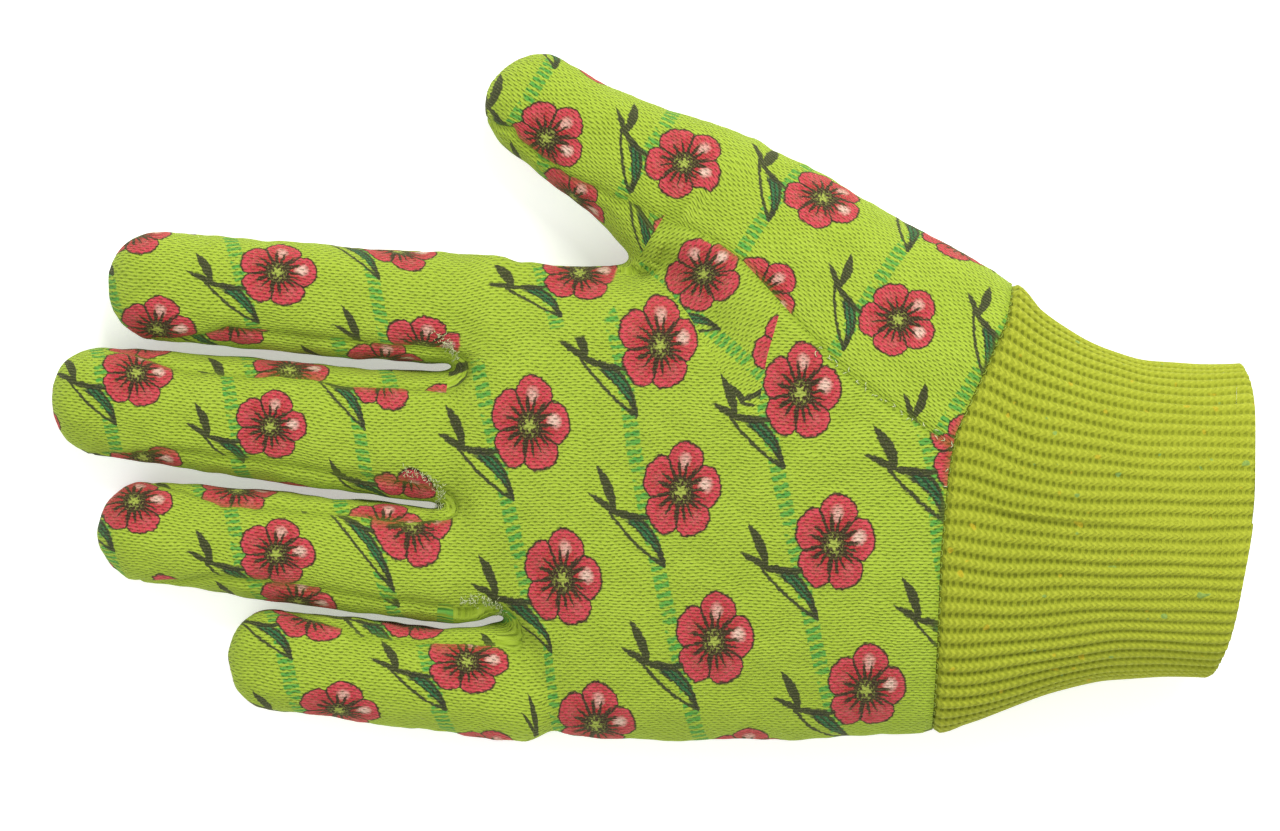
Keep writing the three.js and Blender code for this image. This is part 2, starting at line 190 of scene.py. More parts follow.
def smooth_rows(rows, soft):
    """Columns of a table as smooth functions of its first column."""
    rows = np.array(rows, float)
    fine = np.arange(rows[0, 0] - 30, rows[-1, 0] + 30, 0.5)
    reach = int(soft * 6)
    weights = bump(np.arange(-reach, reach + 1) * 0.5 / soft)
    weights /= weights.sum()
    lines = []
    for column in rows.T[1:]:
        line = np.interp(fine, rows[:, 0], column)
        lines.append(np.convolve(np.pad(line, reach, "edge"), weights, "valid"))
    return lambda at: [np.interp(at, fine, line) for line in lines]


def quarter_arcs(power):
    """Arc length over a quarter of a superellipse, for a range of height to width ratios."""
    angle = np.linspace(0, np.pi / 2, 121)
    across, up = np.sin(angle) ** (2 / power), np.cos(angle) ** (2 / power)
    rows = []
    for ratio in ARC_RATIOS:
        steps = np.hypot(np.diff(across), ratio * np.diff(up))
        rows.append(np.concatenate([[0], np.cumsum(steps)]))
    return np.array(rows)


ARC_RATIOS = np.linspace(0.05, 2.5, 50)
UPPER_ARCS = quarter_arcs(UPPER_POWER)
LOWER_ARCS = quarter_arcs(LOWER_POWER)


def look_up(table, ratio, t):
    i = np.clip((ratio - ARC_RATIOS[0]) / (ARC_RATIOS[1] - ARC_RATIOS[0]), 0, len(ARC_RATIOS) - 1.001)
    j = np.clip(t, 0, 1) * (table.shape[1] - 1.001)
    i0, j0 = i.astype(int), j.astype(int)
    fi, fj = i - i0, j - j0
    top = table[i0, j0] * (1 - fj) + table[i0, j0 + 1] * fj
    low = table[i0 + 1, j0] * (1 - fj) + table[i0 + 1, j0 + 1] * fj
    return top * (1 - fi) + low * fi


def oval_level(a, rise, wide, up, down):
    """1 on a rounded section that is taller or flatter above its side seams than below."""
    above = rise > 0
    power = np.where(above, UPPER_POWER, LOWER_POWER)
    high = np.where(above, up, down)
    return (np.abs(a / wide) ** power + np.abs(rise / high) ** power) ** (1 / power)


class Limb:
    """A rounded tube along a heading in the ground plane, closed round at its far end."""

    def __init__(self, root, heading, length, rows, cap):
        self.root = np.array(root, float)
        self.length = length
        self.cap = cap
        self.along = np.array([math.cos(heading), math.sin(heading)])
        self.side = np.array([self.along[1], -self.along[0]])  # towards the thumb side
        self.rows = smooth_rows(rows, 2.5)

    def local(self, p):
        rel = p[..., :2] - self.root
        s = rel @ self.along
        return s, rel @ self.side - self.rows(s)[4], p[..., 2]

    def section(self, s):
        return self.rows(s)[:4]

    def level(self, s, a, z, start=HIDDEN_END):
        """1 on the surface, less inside and more outside."""
        wide, up, down, mid = self.section(s)
        r = oval_level(a, z - mid, wide, up, down)
        far = np.maximum(0, s - (self.length - self.cap)) / self.cap
        near = np.maximum(0, start - s) / 8
        return np.sqrt(r * r + far * far + near * near)

    def cap_size(self, s, most):
        """How much of its full section the limb has left in its round end, down to a least size."""
        far = np.clip((s - (self.length - self.cap)) / self.cap, 0, most)
        return np.sqrt(1 - far * far)

    def plan(self, p):
        """Distance along and across, signed arc from the top, arcs from top to side and to bottom."""
        s, a, z = self.local(p)
        wide, up, down, mid = self.section(s)
        shrink = self.cap_size(s, 0.97)
        wide, up, down = wide * shrink, up * shrink, down * shrink
        return s, a, *section_arcs(wide, up, down, a, z - mid)

    def at(self, s, z):
        x, y = self.root + self.along * s
        return (x * MM, y * MM, z * MM)


def section_arcs(wide, up, down, a, rise):
    """Signed arc from the top of an oval section, and its arcs from top to side and to bottom."""
    above = rise > 0
    power = np.where(above, UPPER_POWER, LOWER_POWER)
    across = np.abs(a / wide) ** (power / 2)
    height = np.abs(rise / np.where(above, up, down)) ** (power / 2)
    t = np.arctan2(across, height) / (np.pi / 2)
    quarter = wide * look_up(UPPER_ARCS, up / wide, np.ones_like(t))
    under = wide * look_up(LOWER_ARCS, down / wide, np.ones_like(t))
    upper = wide * look_up(UPPER_ARCS, up / wide, t)
    lower = quarter + under - wide * look_up(LOWER_ARCS, down / wide, t)
    return np.sign(a) * np.where(above, upper, lower), quarter, quarter + under


limbs = {}
for name, f in FINGERS.items():
    dx, dy = f["tip"][0] - f["root"][0], f["tip"][1] - f["root"][1]
    length = math.hypot(dx, dy)
    rows = []
    for s in (0, length / 2, length):
        inner = np.interp(s, (0, length), THUMBWARD_REACH[name])
        outer = np.interp(s, (0, length), OUTER_REACH[name])
        high = np.interp(s, (0, length), f["high"])
        middle = SIDE_Z + (high - SIDE_Z) * 0.6
        rows.append((s, (inner + outer) / 2, high, min(high, SIDE_Z) - 0.1, middle, (inner - outer) / 2))
    limbs[name] = Limb(f["root"], math.atan2(dy, dx), length, rows, rows[-1][1] * 0.95)
thumb_rows = [(s, (o + i) / 2, h, h, mid, (o - i) / 2) for s, o, i, h, mid in THUMB_ROWS]
limbs["thumb"] = Limb(THUMB_ROOT, THUMB_HEADING, THUMB_LENGTH, thumb_rows, THUMB_CAP)
hand_rows = smooth_rows(HAND, 3.5)


def hand_section(x):
    """Middle and half width of the hand, height above and below its side seams, and their height."""
    low, high, top, side = hand_rows(x)
    return (low + high) / 2, (high - low) / 2, top - side, side + 0.4, side


def hand_level(x, y, z):
    middle, wide, up, down, side = hand_section(x)
    r = oval_level(y - middle, z - side, wide, up, down)
    front = np.maximum(0, read_off(y, HAND_FRONT) + 8 - x) / 8
    return np.sqrt(r * r + front * front)


def plane_z(x):
    """Height of the hand's side seams, which climb towards the wrist."""
    return SIDE_Z + SEAM_SLOPE * (x + 42)


def line_distance(line, p):
    """Signed distance from a line of points seen from above: positive on its left."""
    line = np.array(line, float)
    best = np.full(len(p), 1e9)
    signed = np.zeros(len(p))
    for i, (a, b) in enumerate(zip(line[:-1], line[1:])):
        d = b - a
        rel = p[:, :2] - a
        t = rel @ d / (d @ d)
        if i > 0:
            t = np.maximum(t, 0)
        if i < len(line) - 2:
            t = np.minimum(t, 1)
        off = rel - t[:, None] * d
        gap = np.hypot(off[:, 0], off[:, 1])
        side = np.sign(d[0] * rel[:, 1] - d[1] * rel[:, 0])
        closer = gap < best
        best = np.where(closer, gap, best)
        signed = np.where(closer, gap * side, signed)
    return signed


# ------------------------------------------------------------------ the skin as one surface

CELL = 0.8
LOW = np.array([-125.0, -73.0, -3.0])
COUNT = np.array([258, 184, 56])
FAR = 6.0  # distances beyond this are not kept


def distance(level):
    """An even distance from a level set that is 1 on the surface."""
    gx, gy, gz = np.gradient(level, CELL)
    slope = np.sqrt(gx * gx + gy * gy + gz * gz)
    return np.clip((level - 1) / np.maximum(slope, 1e-3), -FAR, FAR)


def rounding(a, b, soft):
    """How much material a rounded edge between two surfaces adds or takes away."""
    h = np.clip(soft - np.abs(a - b), 0, None) / soft
    return h * h * soft / 4


def join(a, b, soft):
    return np.minimum(a, b) - rounding(a, b, soft)


def cut_off(a, b, soft):
    return np.maximum(a, b) + rounding(a, b, soft)


axes = [LOW[i] + np.arange(COUNT[i]) * CELL for i in range(3)]
ground = np.array(np.meshgrid(*axes, indexing="ij")).transpose(1, 2, 3, 0).astype(np.float32)
hand = distance(hand_level(ground[..., 0], ground[..., 1], ground[..., 2]))
tubes = {}
for name, limb in limbs.items():
    # only the part of the grid that the limb can reach
    ends = np.array([limb.root - limb.along * 22, limb.root + limb.along * (limb.length + 3)])
    reach = 24 if name == "thumb" else 17
    first = np.clip(((ends.min(0) - reach - LOW[:2]) / CELL).astype(int), 0, COUNT[:2])
    last = np.clip(((ends.max(0) + reach - LOW[:2]) / CELL).astype(int), 0, COUNT[:2])
    room = (slice(first[0], last[0]), slice(first[1], last[1]))
    start = THUMB_HIDDEN_END if name == "thumb" else HIDDEN_END
    tube = np.full(COUNT, FAR, np.float32)
    inside = distance(limb.level(*limb.local(ground[room]), start))
    for pair, line in FINGER_GAPS.items():
        if name in pair:
            towards = 1 if name == pair[0] else -1
            plan = ground[room][:, :, 0, :2]
            clear = -towards * line_distance(line, plan.reshape(-1, 2)).reshape(plan.shape[:2])
            inside = cut_off(inside, FINGER_GAP - clear[:, :, None], GAP_EDGE)
    tube[room] = inside
    tubes[name] = tube
fingers = tubes["index"]
for name in ("middle", "ring", "little"):
    fingers = join(fingers, tubes[name], FINGER_JOIN)
skin = join(fingers, hand, HAND_JOIN)
skin = join(skin, tubes["thumb"], THUMB_JOIN)
skin = cut_off(skin, REST_LEVEL - ground[..., 2], REST_EDGE)
del tubes, fingers, hand

volume = vdb.FloatGrid(FAR)
volume.copyFromArray(skin.astype(np.float32))
points, quads = volume.convertToQuads(0.0)
points = points.astype(float) * CELL + LOW
tris = np.concatenate([quads[:, [0, 1, 2]], quads[:, [0, 2, 3]]]).astype(np.int64)


def sample(field, p):
    """A grid's values at points, by straight-line interpolation."""
    at = np.clip((p - LOW) / CELL, 0, COUNT - 1.001)
    i = at.astype(int)
    f = at - i
    total = 0
    for dx in (0, 1):
        for dy in (0, 1):
            for dz in (0, 1):
                weight = (f[:, 0] if dx else 1 - f[:, 0]) * (f[:, 1] if dy else 1 - f[:, 1])
                weight = weight * (f[:, 2] if dz else 1 - f[:, 2])
                total = total + weight * field[i[:, 0] + dx, i[:, 1] + dy, i[:, 2] + dz]
    return total


def vertex_normals(p, t):
    n = np.cross(p[t[:, 1]] - p[t[:, 0]], p[t[:, 2]] - p[t[:, 0]])
    out = np.zeros_like(p)
    for k in range(3):
        for axis in range(3):
            out[:, axis] += np.bincount(t[:, k], n[:, axis], len(p))
    return unit(out)


UP_HERE = 18  # the skin faces up above this height
if (vertex_normals(points, tris)[points[:, 2] > UP_HERE][:, 2]).mean() < 0:
    tris = tris[:, ::-1].copy()


def edges_of(t):
    return np.concatenate([t[:, [0, 1]], t[:, [1, 2]], t[:, [2, 0]]])


def relax(p, t, rounds, amount):
    """Evens out a surface: each point moves towards the middle of its neighbours."""
    edges = edges_of(t)
    degree = np.bincount(edges.ravel(), minlength=len(p)).astype(float)
    for _ in range(rounds):
        total = np.zeros_like(p)
        for axis in range(3):
            total[:, axis] = np.bincount(edges[:, 0], p[edges[:, 1], axis], len(p))
            total[:, axis] += np.bincount(edges[:, 1], p[edges[:, 0], axis], len(p))
        p = p + amount * (total / degree[:, None] - p)
    return p


points = relax(points, tris, 3, 0.5)
print("skin", len(points), "points", len(tris), "triangles")


# ------------------------------------------------------------------ where things are on the skin


def finger_of(p):
    """Which limb each point belongs to, counted from 1, or 0 for the hand."""
    owner = np.zeros(len(p), int)
    best = np.full(len(p), 1e9)
    for k, (name, limb) in enumerate(limbs.items(), 1):
        s, a, z = limb.local(p)
        wide = limb.section(s)[0]
        level = limb.level(s, a, z)
        mine = (level < best) & (s > FOLDS[name]["base"][0] - 3) & (np.abs(a) < wide + 4)
        if name == "thumb":
            mine &= p[:, 1] > 26
        best = np.where(mine, level, best)
        owner = np.where(mine, k, owner)
    return owner


def seam_heights(name, s, a, x):
    """Heights of the seams on this side of a limb: the front panel's edge and the back panel's."""
    limb = limbs[name]
    wide, up, _, mid = limb.section(s)
    if name == "thumb":
        middle = plane_z(x) + (mid - plane_z(x)) * ease(s / 8)
        inset = read_off(s, THUMB_SEAM_INSET)
        ratio = np.clip(inset / wide, 0, 0.97)
        shrink = limb.cap_size(s, 0.98)
        rise = up * shrink * (1 - np.clip(ratio / shrink, 0, 1) ** UPPER_POWER) ** (1 / UPPER_POWER)
        has = a < 0
        rise = rise * np.clip((limb.length - 3 - s) / 6, 0, 1) ** 0.5
        return np.where(has, mid + rise, middle), np.where(has, mid - rise * 0.9, middle)
    middle = FINGER_SEAM_Z + (mid - FINGER_SEAM_Z) * ease(s / 20)
    taper = np.clip((limb.length - STRIP_END - s) / 16, 0, 1) ** 0.6
    reach = STRIP_REACH * taper * (1 - 0.1 * np.clip(s / limb.length, 0, 1))
    reach = np.where(np.isin(np.sign(a), list(STRIPS[name].values())), reach, 0)
    return middle + reach, middle - reach


def seam_gap(p, owner):
    """Distance in mm from each point to the nearest seam, roughly, along the cloth."""
    gap = np.full(len(p), 50.0)
    for k, (name, limb) in enumerate(limbs.items(), 1):
        mine = owner == k
        s, a, z = limb.local(p[mine])
        front, back = seam_heights(name, s, a, p[mine, 0])
        gap[mine] = np.minimum(np.abs(z - front), np.abs(z - back)) * 1.25
    rest = owner == 0
    q = p[rest]
    high = q[:, 2] > plane_z(q[:, 0])
    side = np.abs(q[:, 2] - plane_z(q[:, 0]))
    thumb_line = np.abs(line_distance(THUMB_SEAM, q)) + np.where(high & (q[:, 0] > -6), 0, 50)
    web = np.where((q[:, 0] < -26) & (q[:, 1] > -58) & (q[:, 1] < 20), np.abs(q[:, 2] - CROTCH_TOP), 50)
    wrist = np.abs(q[:, 0] - read_off(q[:, 1], WRIST_SEAM))
    gap[rest] = np.minimum.reduce([side, thumb_line, web, wrist])
    return gap


# cloth drawn in along each seam, with small puckers beside it
SEAM_DEPTH, SEAM_WIDTH = 0.55, 0.75
PUCKER, PUCKER_LENGTH, PUCKERS_OFF_SEAM = 0.10, 3.6, 2.0
# the hollow that runs into the palm from the thumb's crotch
HOLLOW = [(-8, 33), (-1, 25), (6, 19.5), (14, 12), (24, 5)]
HOLLOW_DEPTH, HOLLOW_WIDTH = 2.1, 4.2


def ripple(p, length, seed):
    """Smooth made-up unevenness, between about -1 and 1, of about that length."""
    rng = np.random.default_rng(seed)
    total = 0
    for _ in range(7):
        d = rng.normal(size=3)
        d /= np.linalg.norm(d)
        turns = 2 * np.pi / (length * rng.uniform(0.7, 1.5))
        total = total + np.sin(p @ d * turns + rng.uniform(0, 6.28))
    return total / 3.5


owner = finger_of(points)
normals = vertex_normals(points, tris)
gap = seam_gap(points, owner)
shape = 0.30 * ripple(points, 15, 3) + 0.16 * ripple(points, 7, 5)
shape -= SEAM_DEPTH * bump(gap / SEAM_WIDTH)
shape += PUCKER * bump((gap - PUCKERS_OFF_SEAM) / 1.2) * ripple(points, PUCKER_LENGTH, 9)
up_face = ease((points[:, 2] - 13) / 6)
fading = ease((30 - points[:, 0]) / 22) * (owner == 0)
shape -= HOLLOW_DEPTH * bump(line_distance(HOLLOW, points) / HOLLOW_WIDTH) * up_face * fading
points = points + normals * shape[:, None]
points[:, 2] = np.maximum(points[:, 2], REST_LEVEL)
normals = vertex_normals(points, tris)

# ------------------------------------------------------------------ cutting the skin into panels


LEAST_OFF_CUT = 0.02  # points nearer to a cut than this are moved off it


def split(p, n, t, g):
    """Divides triangles where g changes sign. Returns the points, normals and the two lists."""
    nudged = np.where(g < 0, -LEAST_OFF_CUT, LEAST_OFF_CUT)
    g = np.where(np.abs(g) < LEAST_OFF_CUT, nudged, g)
    inside = g > 0
    k = inside[t].sum(1)
    plus, minus = t[k == 3], t[k == 0]
    mixed = t[(k == 1) | (k == 2)]
    if not len(mixed):
        return p, n, plus, minus
    m = inside[mixed]
    lone_plus = m.sum(1) == 1
    lone = np.where(lone_plus, m.argmax(1), (~m).argmax(1))
    row = np.arange(len(mixed))
    a, b, c = (mixed[row, (lone + i) % 3] for i in range(3))
    keys = np.concatenate([np.minimum(a, q) * len(p) + np.maximum(a, q) for q in (b, c)])
    unique, inverse = np.unique(keys, return_inverse=True)
    lo, hi = unique // len(p), unique % len(p)
    f = (g[lo] / (g[lo] - g[hi]))[:, None]
    ab = len(p) + inverse[: len(a)]
    ac = len(p) + inverse[len(a):]
    tips = np.stack([a, ab, ac], 1)
    bases = np.concatenate([np.stack([ab, b, c], 1), np.stack([ab, c, ac], 1)])
    base_plus = np.concatenate([~lone_plus, ~lone_plus])
    p = np.concatenate([p, p[lo] + (p[hi] - p[lo]) * f])
    n = np.concatenate([n, unit(n[lo] + (n[hi] - n[lo]) * f)])
    plus = np.concatenate([plus, tips[lone_plus], bases[base_plus]])
    minus = np.concatenate([minus, tips[~lone_plus], bases[~base_plus]])
    return p, n, plus, minus


class Skin:
    """The skin's points so far: each cut adds more."""

    points = points
    normals = normals


def divide(t, field):
    """The triangles where a field is positive, and the others."""
    g = np.zeros(len(Skin.points))
    used = np.unique(t)
    g[used] = field(Skin.points[used])
    Skin.points, Skin.normals, plus, minus = split(Skin.points, Skin.normals, t, g)
    return plus, minus


whole_hand, _ = divide(tris, lambda p: read_off(p[:, 1], WRIST_SEAM) - p[:, 0])
rest = whole_hand
panels = {}
for k, (name, limb) in enumerate(limbs.items(), 1):
    owner_now = finger_of(Skin.points)
    mine = (owner_now[rest] == k).all(1)
    part, others = rest[mine], rest[~mine]
    base = FOLDS[name]["base"][0]
    limb_part, stub = divide(part, lambda p: limb.local(p)[0] - base)
    rest = np.concatenate([others, stub])
    far, near = divide(limb_part, lambda p: limb.local(p)[0] - FOLDS[name]["split"])
    for stretch, piece in (("near", near), ("far", far)):

        def front_field(p):
            s, a, z = limb.local(p)
            return z - seam_heights(name, s, a, p[:, 0])[0]

        def back_field(p):
            s, a, z = limb.local(p)
            return seam_heights(name, s, a, p[:, 0])[1] - z

        front, low = divide(piece, front_field)
        back, strip = divide(low, back_field)
        panels[f"{name}_{stretch}_front"] = front
        panels[f"{name}_{stretch}_back"] = back
        towards = np.sign(limb.local(Skin.points[strip].mean(1))[1])
        for word, side in STRIPS[name].items():
            panels[f"{name}_{stretch}_{word}"] = strip[towards == side]
        if len(STRIPS[name]) == 1:
            panels[f"{name}_{stretch}_back"] = np.concatenate([back, strip[towards == -side]])

for upper, lower in FINGER_GAPS:
    y1, y0 = FINGERS[upper]["root"][1], FINGERS[lower]["root"][1]
    limit = -18 if lower == "little" else -28

    def crotch_field(p):
        band = np.minimum(p[:, 2] - CROTCH_BOTTOM, CROTCH_TOP - p[:, 2])
        return np.minimum.reduce([band, p[:, 1] - y0, y1 - p[:, 1], limit - p[:, 0]])

    panels[f"{upper}_{lower}_crotch_strip"], rest = divide(rest, crotch_field)


def gusset_field(p):
    left = line_distance(GUSSET_EDGE, p)
    right = -line_distance(THUMB_SEAM, p)
    back = line_distance(GUSSET_BACK, p)
    return np.minimum.reduce([left, right, back, p[:, 2] - 6.5])


panels["thumb_crotch_panel"], rest = divide(rest, gusset_field)
heel, rest = divide(rest, lambda p: np.minimum(line_distance(THUMB_SEAM, p), p[:, 2] - plane_z(p[:, 0])))
panels["thumb_heel_panel"] = heel
panels["palm_panel"], panels["back_panel"] = divide(rest, lambda p: p[:, 2] - plane_z(p[:, 0]))

# ------------------------------------------------------------------ how the cloth lies on the skin

# The print repeats on a slanting lattice, and these are its two steps on slack cloth. Each cut of
# cloth is set out from the place of one flower on it.
STEP_A = (30.0, -7.6)
STEP_B = (6.6, -21.8)
PALM_FLOWER = (-24.5, -5.5)
PALM_STRETCH = 1.37  # the palm's cloth is stretched across
BACK_FLOWER = (11, 5)
BACK_STRETCH = 1.08
FINGER_PRINT = {  # print u at the root and per mm, print v on the middle line and per mm
    "middle": (-16.6, -1.08, -5.3, 1.0),
    "ring": (-13.1, -1.02, -26.9, 1.0),
    "little": (-11.7, -0.95, -40.0, 1.05),
}
# distances from the root over which a finger's own print takes over from the palm's
FINGER_TAKES_OVER = {"middle": (0, 26), "ring": (4, 28), "little": (-14, -4)}
# the index finger's cloth is tucked under the palm's along a crease from the thumb's crotch
INDEX_CLOTH = [
    (-1, 34), (-4.5, 28.5), (-7, 22), (-12, 14), (-26, 11),
    (-39.5, 7.6), (-60, 6.9), (-100, 10.3), (-125, 12.5),
]
# distance from the index finger's root and the print's u there, and its v on the middle line
INDEX_PRINT = [(-46, 14.4), (-14, -17.6), (-6.5, -24.6), (-2.5, -22.4), (70, -94.9)]
INDEX_PRINT_MIDDLE = 10.4
STRIP_PRINT = {  # distance from the root and height of one flower on each side strip
    "index_outer_strip": (13, 3.0),
    "middle_thumbward_strip": (31.6, 6.5),
    "middle_outer_strip": (59, 4.5),
    "ring_thumbward_strip": (42.3, 3.5),
    "ring_outer_strip": (28, 4.0),
    "little_thumbward_strip": (16.5, 2.0),
    "thumb_inner_strip": (17, 3.0),
}
THUMB_FLOWER = (6.3, 46.5)
THUMB_TURN = ((0.713, -0.756), (0.634, 0.646))
THUMB_PLAIN = [(-1.4, 33.8, 6.8), (11.7, 33, 2.8)]  # places by its crotch with no print, and reach
THUMB_KNIT_TURN = math.radians(38)
GUSSET_FLOWER = (10.1, 24.3)
GUSSET_TURN = math.radians(-32)


def hand_plan(p):
    """Cloth coordinates on the palm side: the place seen from above, opened out over the sides."""
    middle, wide, up, down, side = hand_section(p[:, 0])
    a = p[:, 1] - middle
    share = np.clip(np.abs(a) / wide, 0, 0.999)
    on_surface = (1 - share ** UPPER_POWER) ** (1 / UPPER_POWER) * up
    rise = p[:, 2] - side
    near_edge = ease((share - 0.86) / 0.1)
    rise = on_surface * (1 - near_edge) + rise * near_edge
    arc, _, _ = section_arcs(wide, up, down, a, rise)
    return np.stack([p[:, 0], p[:, 1] + (arc - a) * ease((p[:, 0] + 30) / 20)], 1)


def palm_cloth(p):
    """Print and knit coordinates of the palm and the fronts of the fingers, as one cloth."""
    plan = hand_plan(p)
    u = plan[:, 0] - PALM_FLOWER[0]
    v = (plan[:, 1] - PALM_FLOWER[1]) / PALM_STRETCH
    # the cloth is drawn aside by the thumb's crotch and by the wrist
    pulled = bump(np.hypot(plan[:, 0] - 1.5, plan[:, 1] - 10.5) / 11)
    by_wrist = bump(np.hypot(plan[:, 0] - 60, plan[:, 1] + 10) / 11)
    u = u - 2.6 * pulled - 3.6 * by_wrist
    v = v + 1.9 * ease((plan[:, 0] + 26) / 26) + 0.7 * pulled
    ku, kv = plan[:, 0], plan[:, 1]
    edge = -line_distance(INDEX_CLOTH, p)
    on_index = ease(edge / 0.8 + 0.5)
    near = {name: bump(limbs[name].local(p)[1] / 4.5) + 1e-12 for name in FINGER_TAKES_OVER}
    total = sum(near.values())
    for name, (start, end) in FINGER_TAKES_OVER.items():
        s, a, arc, _, _ = limbs[name].plan(p)
        w = near[name] / total * ease((s - start) / (end - start)) * (1 - on_index)
        on_finger = ease((s + 6) / 8)
        across = arc * on_finger + a * (1 - on_finger)
        u0, du, v0, dv = FINGER_PRINT[name]
        root = limbs[name].root
        u, v = u + w * (u0 + du * s - u), v + w * (v0 + dv * across - v)
        ku, kv = ku + w * (root[0] - s - ku), kv + w * (root[1] + across - kv)
    index = limbs["index"]
    s, a, arc, _, _ = index.plan(p)
    on_finger = ease((s + 8) / 8)
    across = arc * on_finger + a * 1.2 * (1 - on_finger)
    u = u + on_index * (read_off(s, INDEX_PRINT) - u)
    v = v + on_index * (INDEX_PRINT_MIDDLE + across + 6 * bump((s - 4) / 9) - v)
    w = on_index * on_finger
    ku, kv = ku + w * (index.root[0] - s - ku), kv + w * (index.root[1] + arc - kv)
    # no print where the cloth is tucked under, nor in two bands at the finger's root
    low_gap = ease((5.4 - np.abs(s + 7.3)) / 0.8) * ease((2 - a) / 2)
    high_gap = ease((4.4 - np.abs(s + 3.0)) / 0.8) * ease(a / 2)
    blank = np.maximum(bump(edge / 0.9) * (p[:, 0] > -40), on_index * np.maximum(low_gap, high_gap))
    return u, v, ku, kv, blank


def back_cloth(p):
    """The back of the hand and fingers, opened out from underneath."""
    middle, wide, *_ = hand_section(p[:, 0])
    u, v = p[:, 0].copy(), p[:, 1].copy()
    owner_here = finger_of(p)
    for k, limb in enumerate(limbs.values(), 1):
        mine = owner_here == k
        if not mine.any():
            continue
        s, a, arc, _, half = limb.plan(p[mine])
        shift = np.sign(arc) * (half - np.abs(arc)) - a
        w = ease((s + 2) / 10)
        u[mine] += shift * limb.side[0] * w
        v[mine] += shift * limb.side[1] * w
    edge = p[:, 2] * ease((np.abs(p[:, 1] - middle) / wide - 0.8) / 0.2)
    v = np.where(owner_here == 0, v + np.sign(p[:, 1] - middle) * edge * 0.7, v)
    return u + BACK_FLOWER[0], -v / BACK_STRETCH + BACK_FLOWER[1], u, -v


def turned(q, angle):
    c, s = math.cos(angle), math.sin(angle)
    return q[:, 0] * c - q[:, 1] * s, q[:, 0] * s + q[:, 1] * c


def thumb_plain(p):
    """1 on the cloth by the thumb's crotch that carries no print."""
    blank = np.zeros(len(p))
    for x, y, reach in THUMB_PLAIN:
        blank = np.maximum(blank, ease((reach - np.hypot(p[:, 0] - x, p[:, 1] - y)) / 0.8))
    return blank


def thumb_cloth(p):
    """The thumb's outer cloth and the heel of the hand, set on a slant."""
    limb = limbs["thumb"]
    s, a, arc, _, _ = limb.plan(p)
    on_thumb = ease((s + 14) / 14)[:, None]
    excess = np.clip(arc - a, -25, 25)[:, None] * limb.side
    q = hand_plan(p) * (1 - on_thumb) + (p[:, :2] + excess) * on_thumb
    rel = q - np.array(THUMB_FLOWER)
    u, v = np.array(THUMB_TURN)
    ku, kv = turned(q, THUMB_KNIT_TURN)
    return rel @ u, rel @ v, ku, kv, thumb_plain(p)


def gusset_cloth(p):
    rel = p[:, :2] - np.array(GUSSET_FLOWER)
    drop = np.clip(19 - p[:, 2], 0, 20) * 0.8
    rel = rel + np.outer(drop, (-0.2, 0.6))
    u, v = turned(rel, GUSSET_TURN)
    return u, v, u, v, thumb_plain(p)


def strip_cloth(name, word, side, p):
    s, _, arc, quarter, _ = limbs[name].plan(p)
    up_side = quarter - np.abs(arc)  # height above the middle of the strip, along the cloth
    at, high = STRIP_PRINT[f"{name}_{word}"]
    return at - s, -side * (up_side - high), -s, -side * up_side


def cloth_of(name, p):
    """A panel's print and knit coordinates, and on some panels where it stays plain."""
    for finger, strips in STRIPS.items():
        for word, side in strips.items():
            if name.startswith(finger) and name.endswith(word):
                return strip_cloth(finger, word, side, p)
    if name.endswith("crotch_strip"):
        return p[:, 1] + 40, -p[:, 2], p[:, 1], -p[:, 2]
    if name == "thumb_crotch_panel":
        return gusset_cloth(p)
    if name.endswith("back") or name == "back_panel":
        return back_cloth(p)
    if name.startswith("thumb"):
        return thumb_cloth(p)
    return palm_cloth(p)


# ------------------------------------------------------------------ meshes


def make_mesh(name, p, faces, attributes, sharp=None):
    """A mesh object in metres from points in mm, with its point attributes."""
    faces = np.asarray(faces)
    mesh = bpy.data.meshes.new(name)
    mesh.vertices.add(len(p))
    mesh.vertices.foreach_set("co", (p * MM).astype(np.float32).ravel())
    corners = faces.shape[1]
    mesh.loops.add(faces.size)
    mesh.loops.foreach_set("vertex_index", faces.astype(np.int32).ravel())
    mesh.polygons.add(len(faces))
    mesh.polygons.foreach_set("loop_start", np.arange(0, faces.size, corners, dtype=np.int32))
    mesh.polygons.foreach_set("use_smooth", np.ones(len(faces), bool))
    mesh.update(calc_edges=True)
    mesh.validate()
    for key, values in attributes.items():
        layer = mesh.attributes.new(key, "FLOAT_VECTOR", "POINT")
        layer.data.foreach_set("vector", np.asarray(values, np.float32).ravel())
    if sharp is not None:
        ends = np.empty(len(mesh.edges) * 2, np.int32)
        mesh.edges.foreach_get("vertices", ends)
        ends = ends.reshape(-1, 2)
        marks = sharp[ends[:, 0]] & sharp[ends[:, 1]]
        layer = mesh.attributes.new("sharp_edge", "BOOLEAN", "EDGE")
        layer.data.foreach_set("value", marks)
    obj = bpy.data.objects.new(name, mesh)
    bpy.context.scene.collection.objects.link(obj)
    return obj


def on_both_faces(*values):
    """Values of the outer face's points, given to the inner face's too."""
    return np.stack([np.tile(np.ravel(value), 2) for value in values], 1)


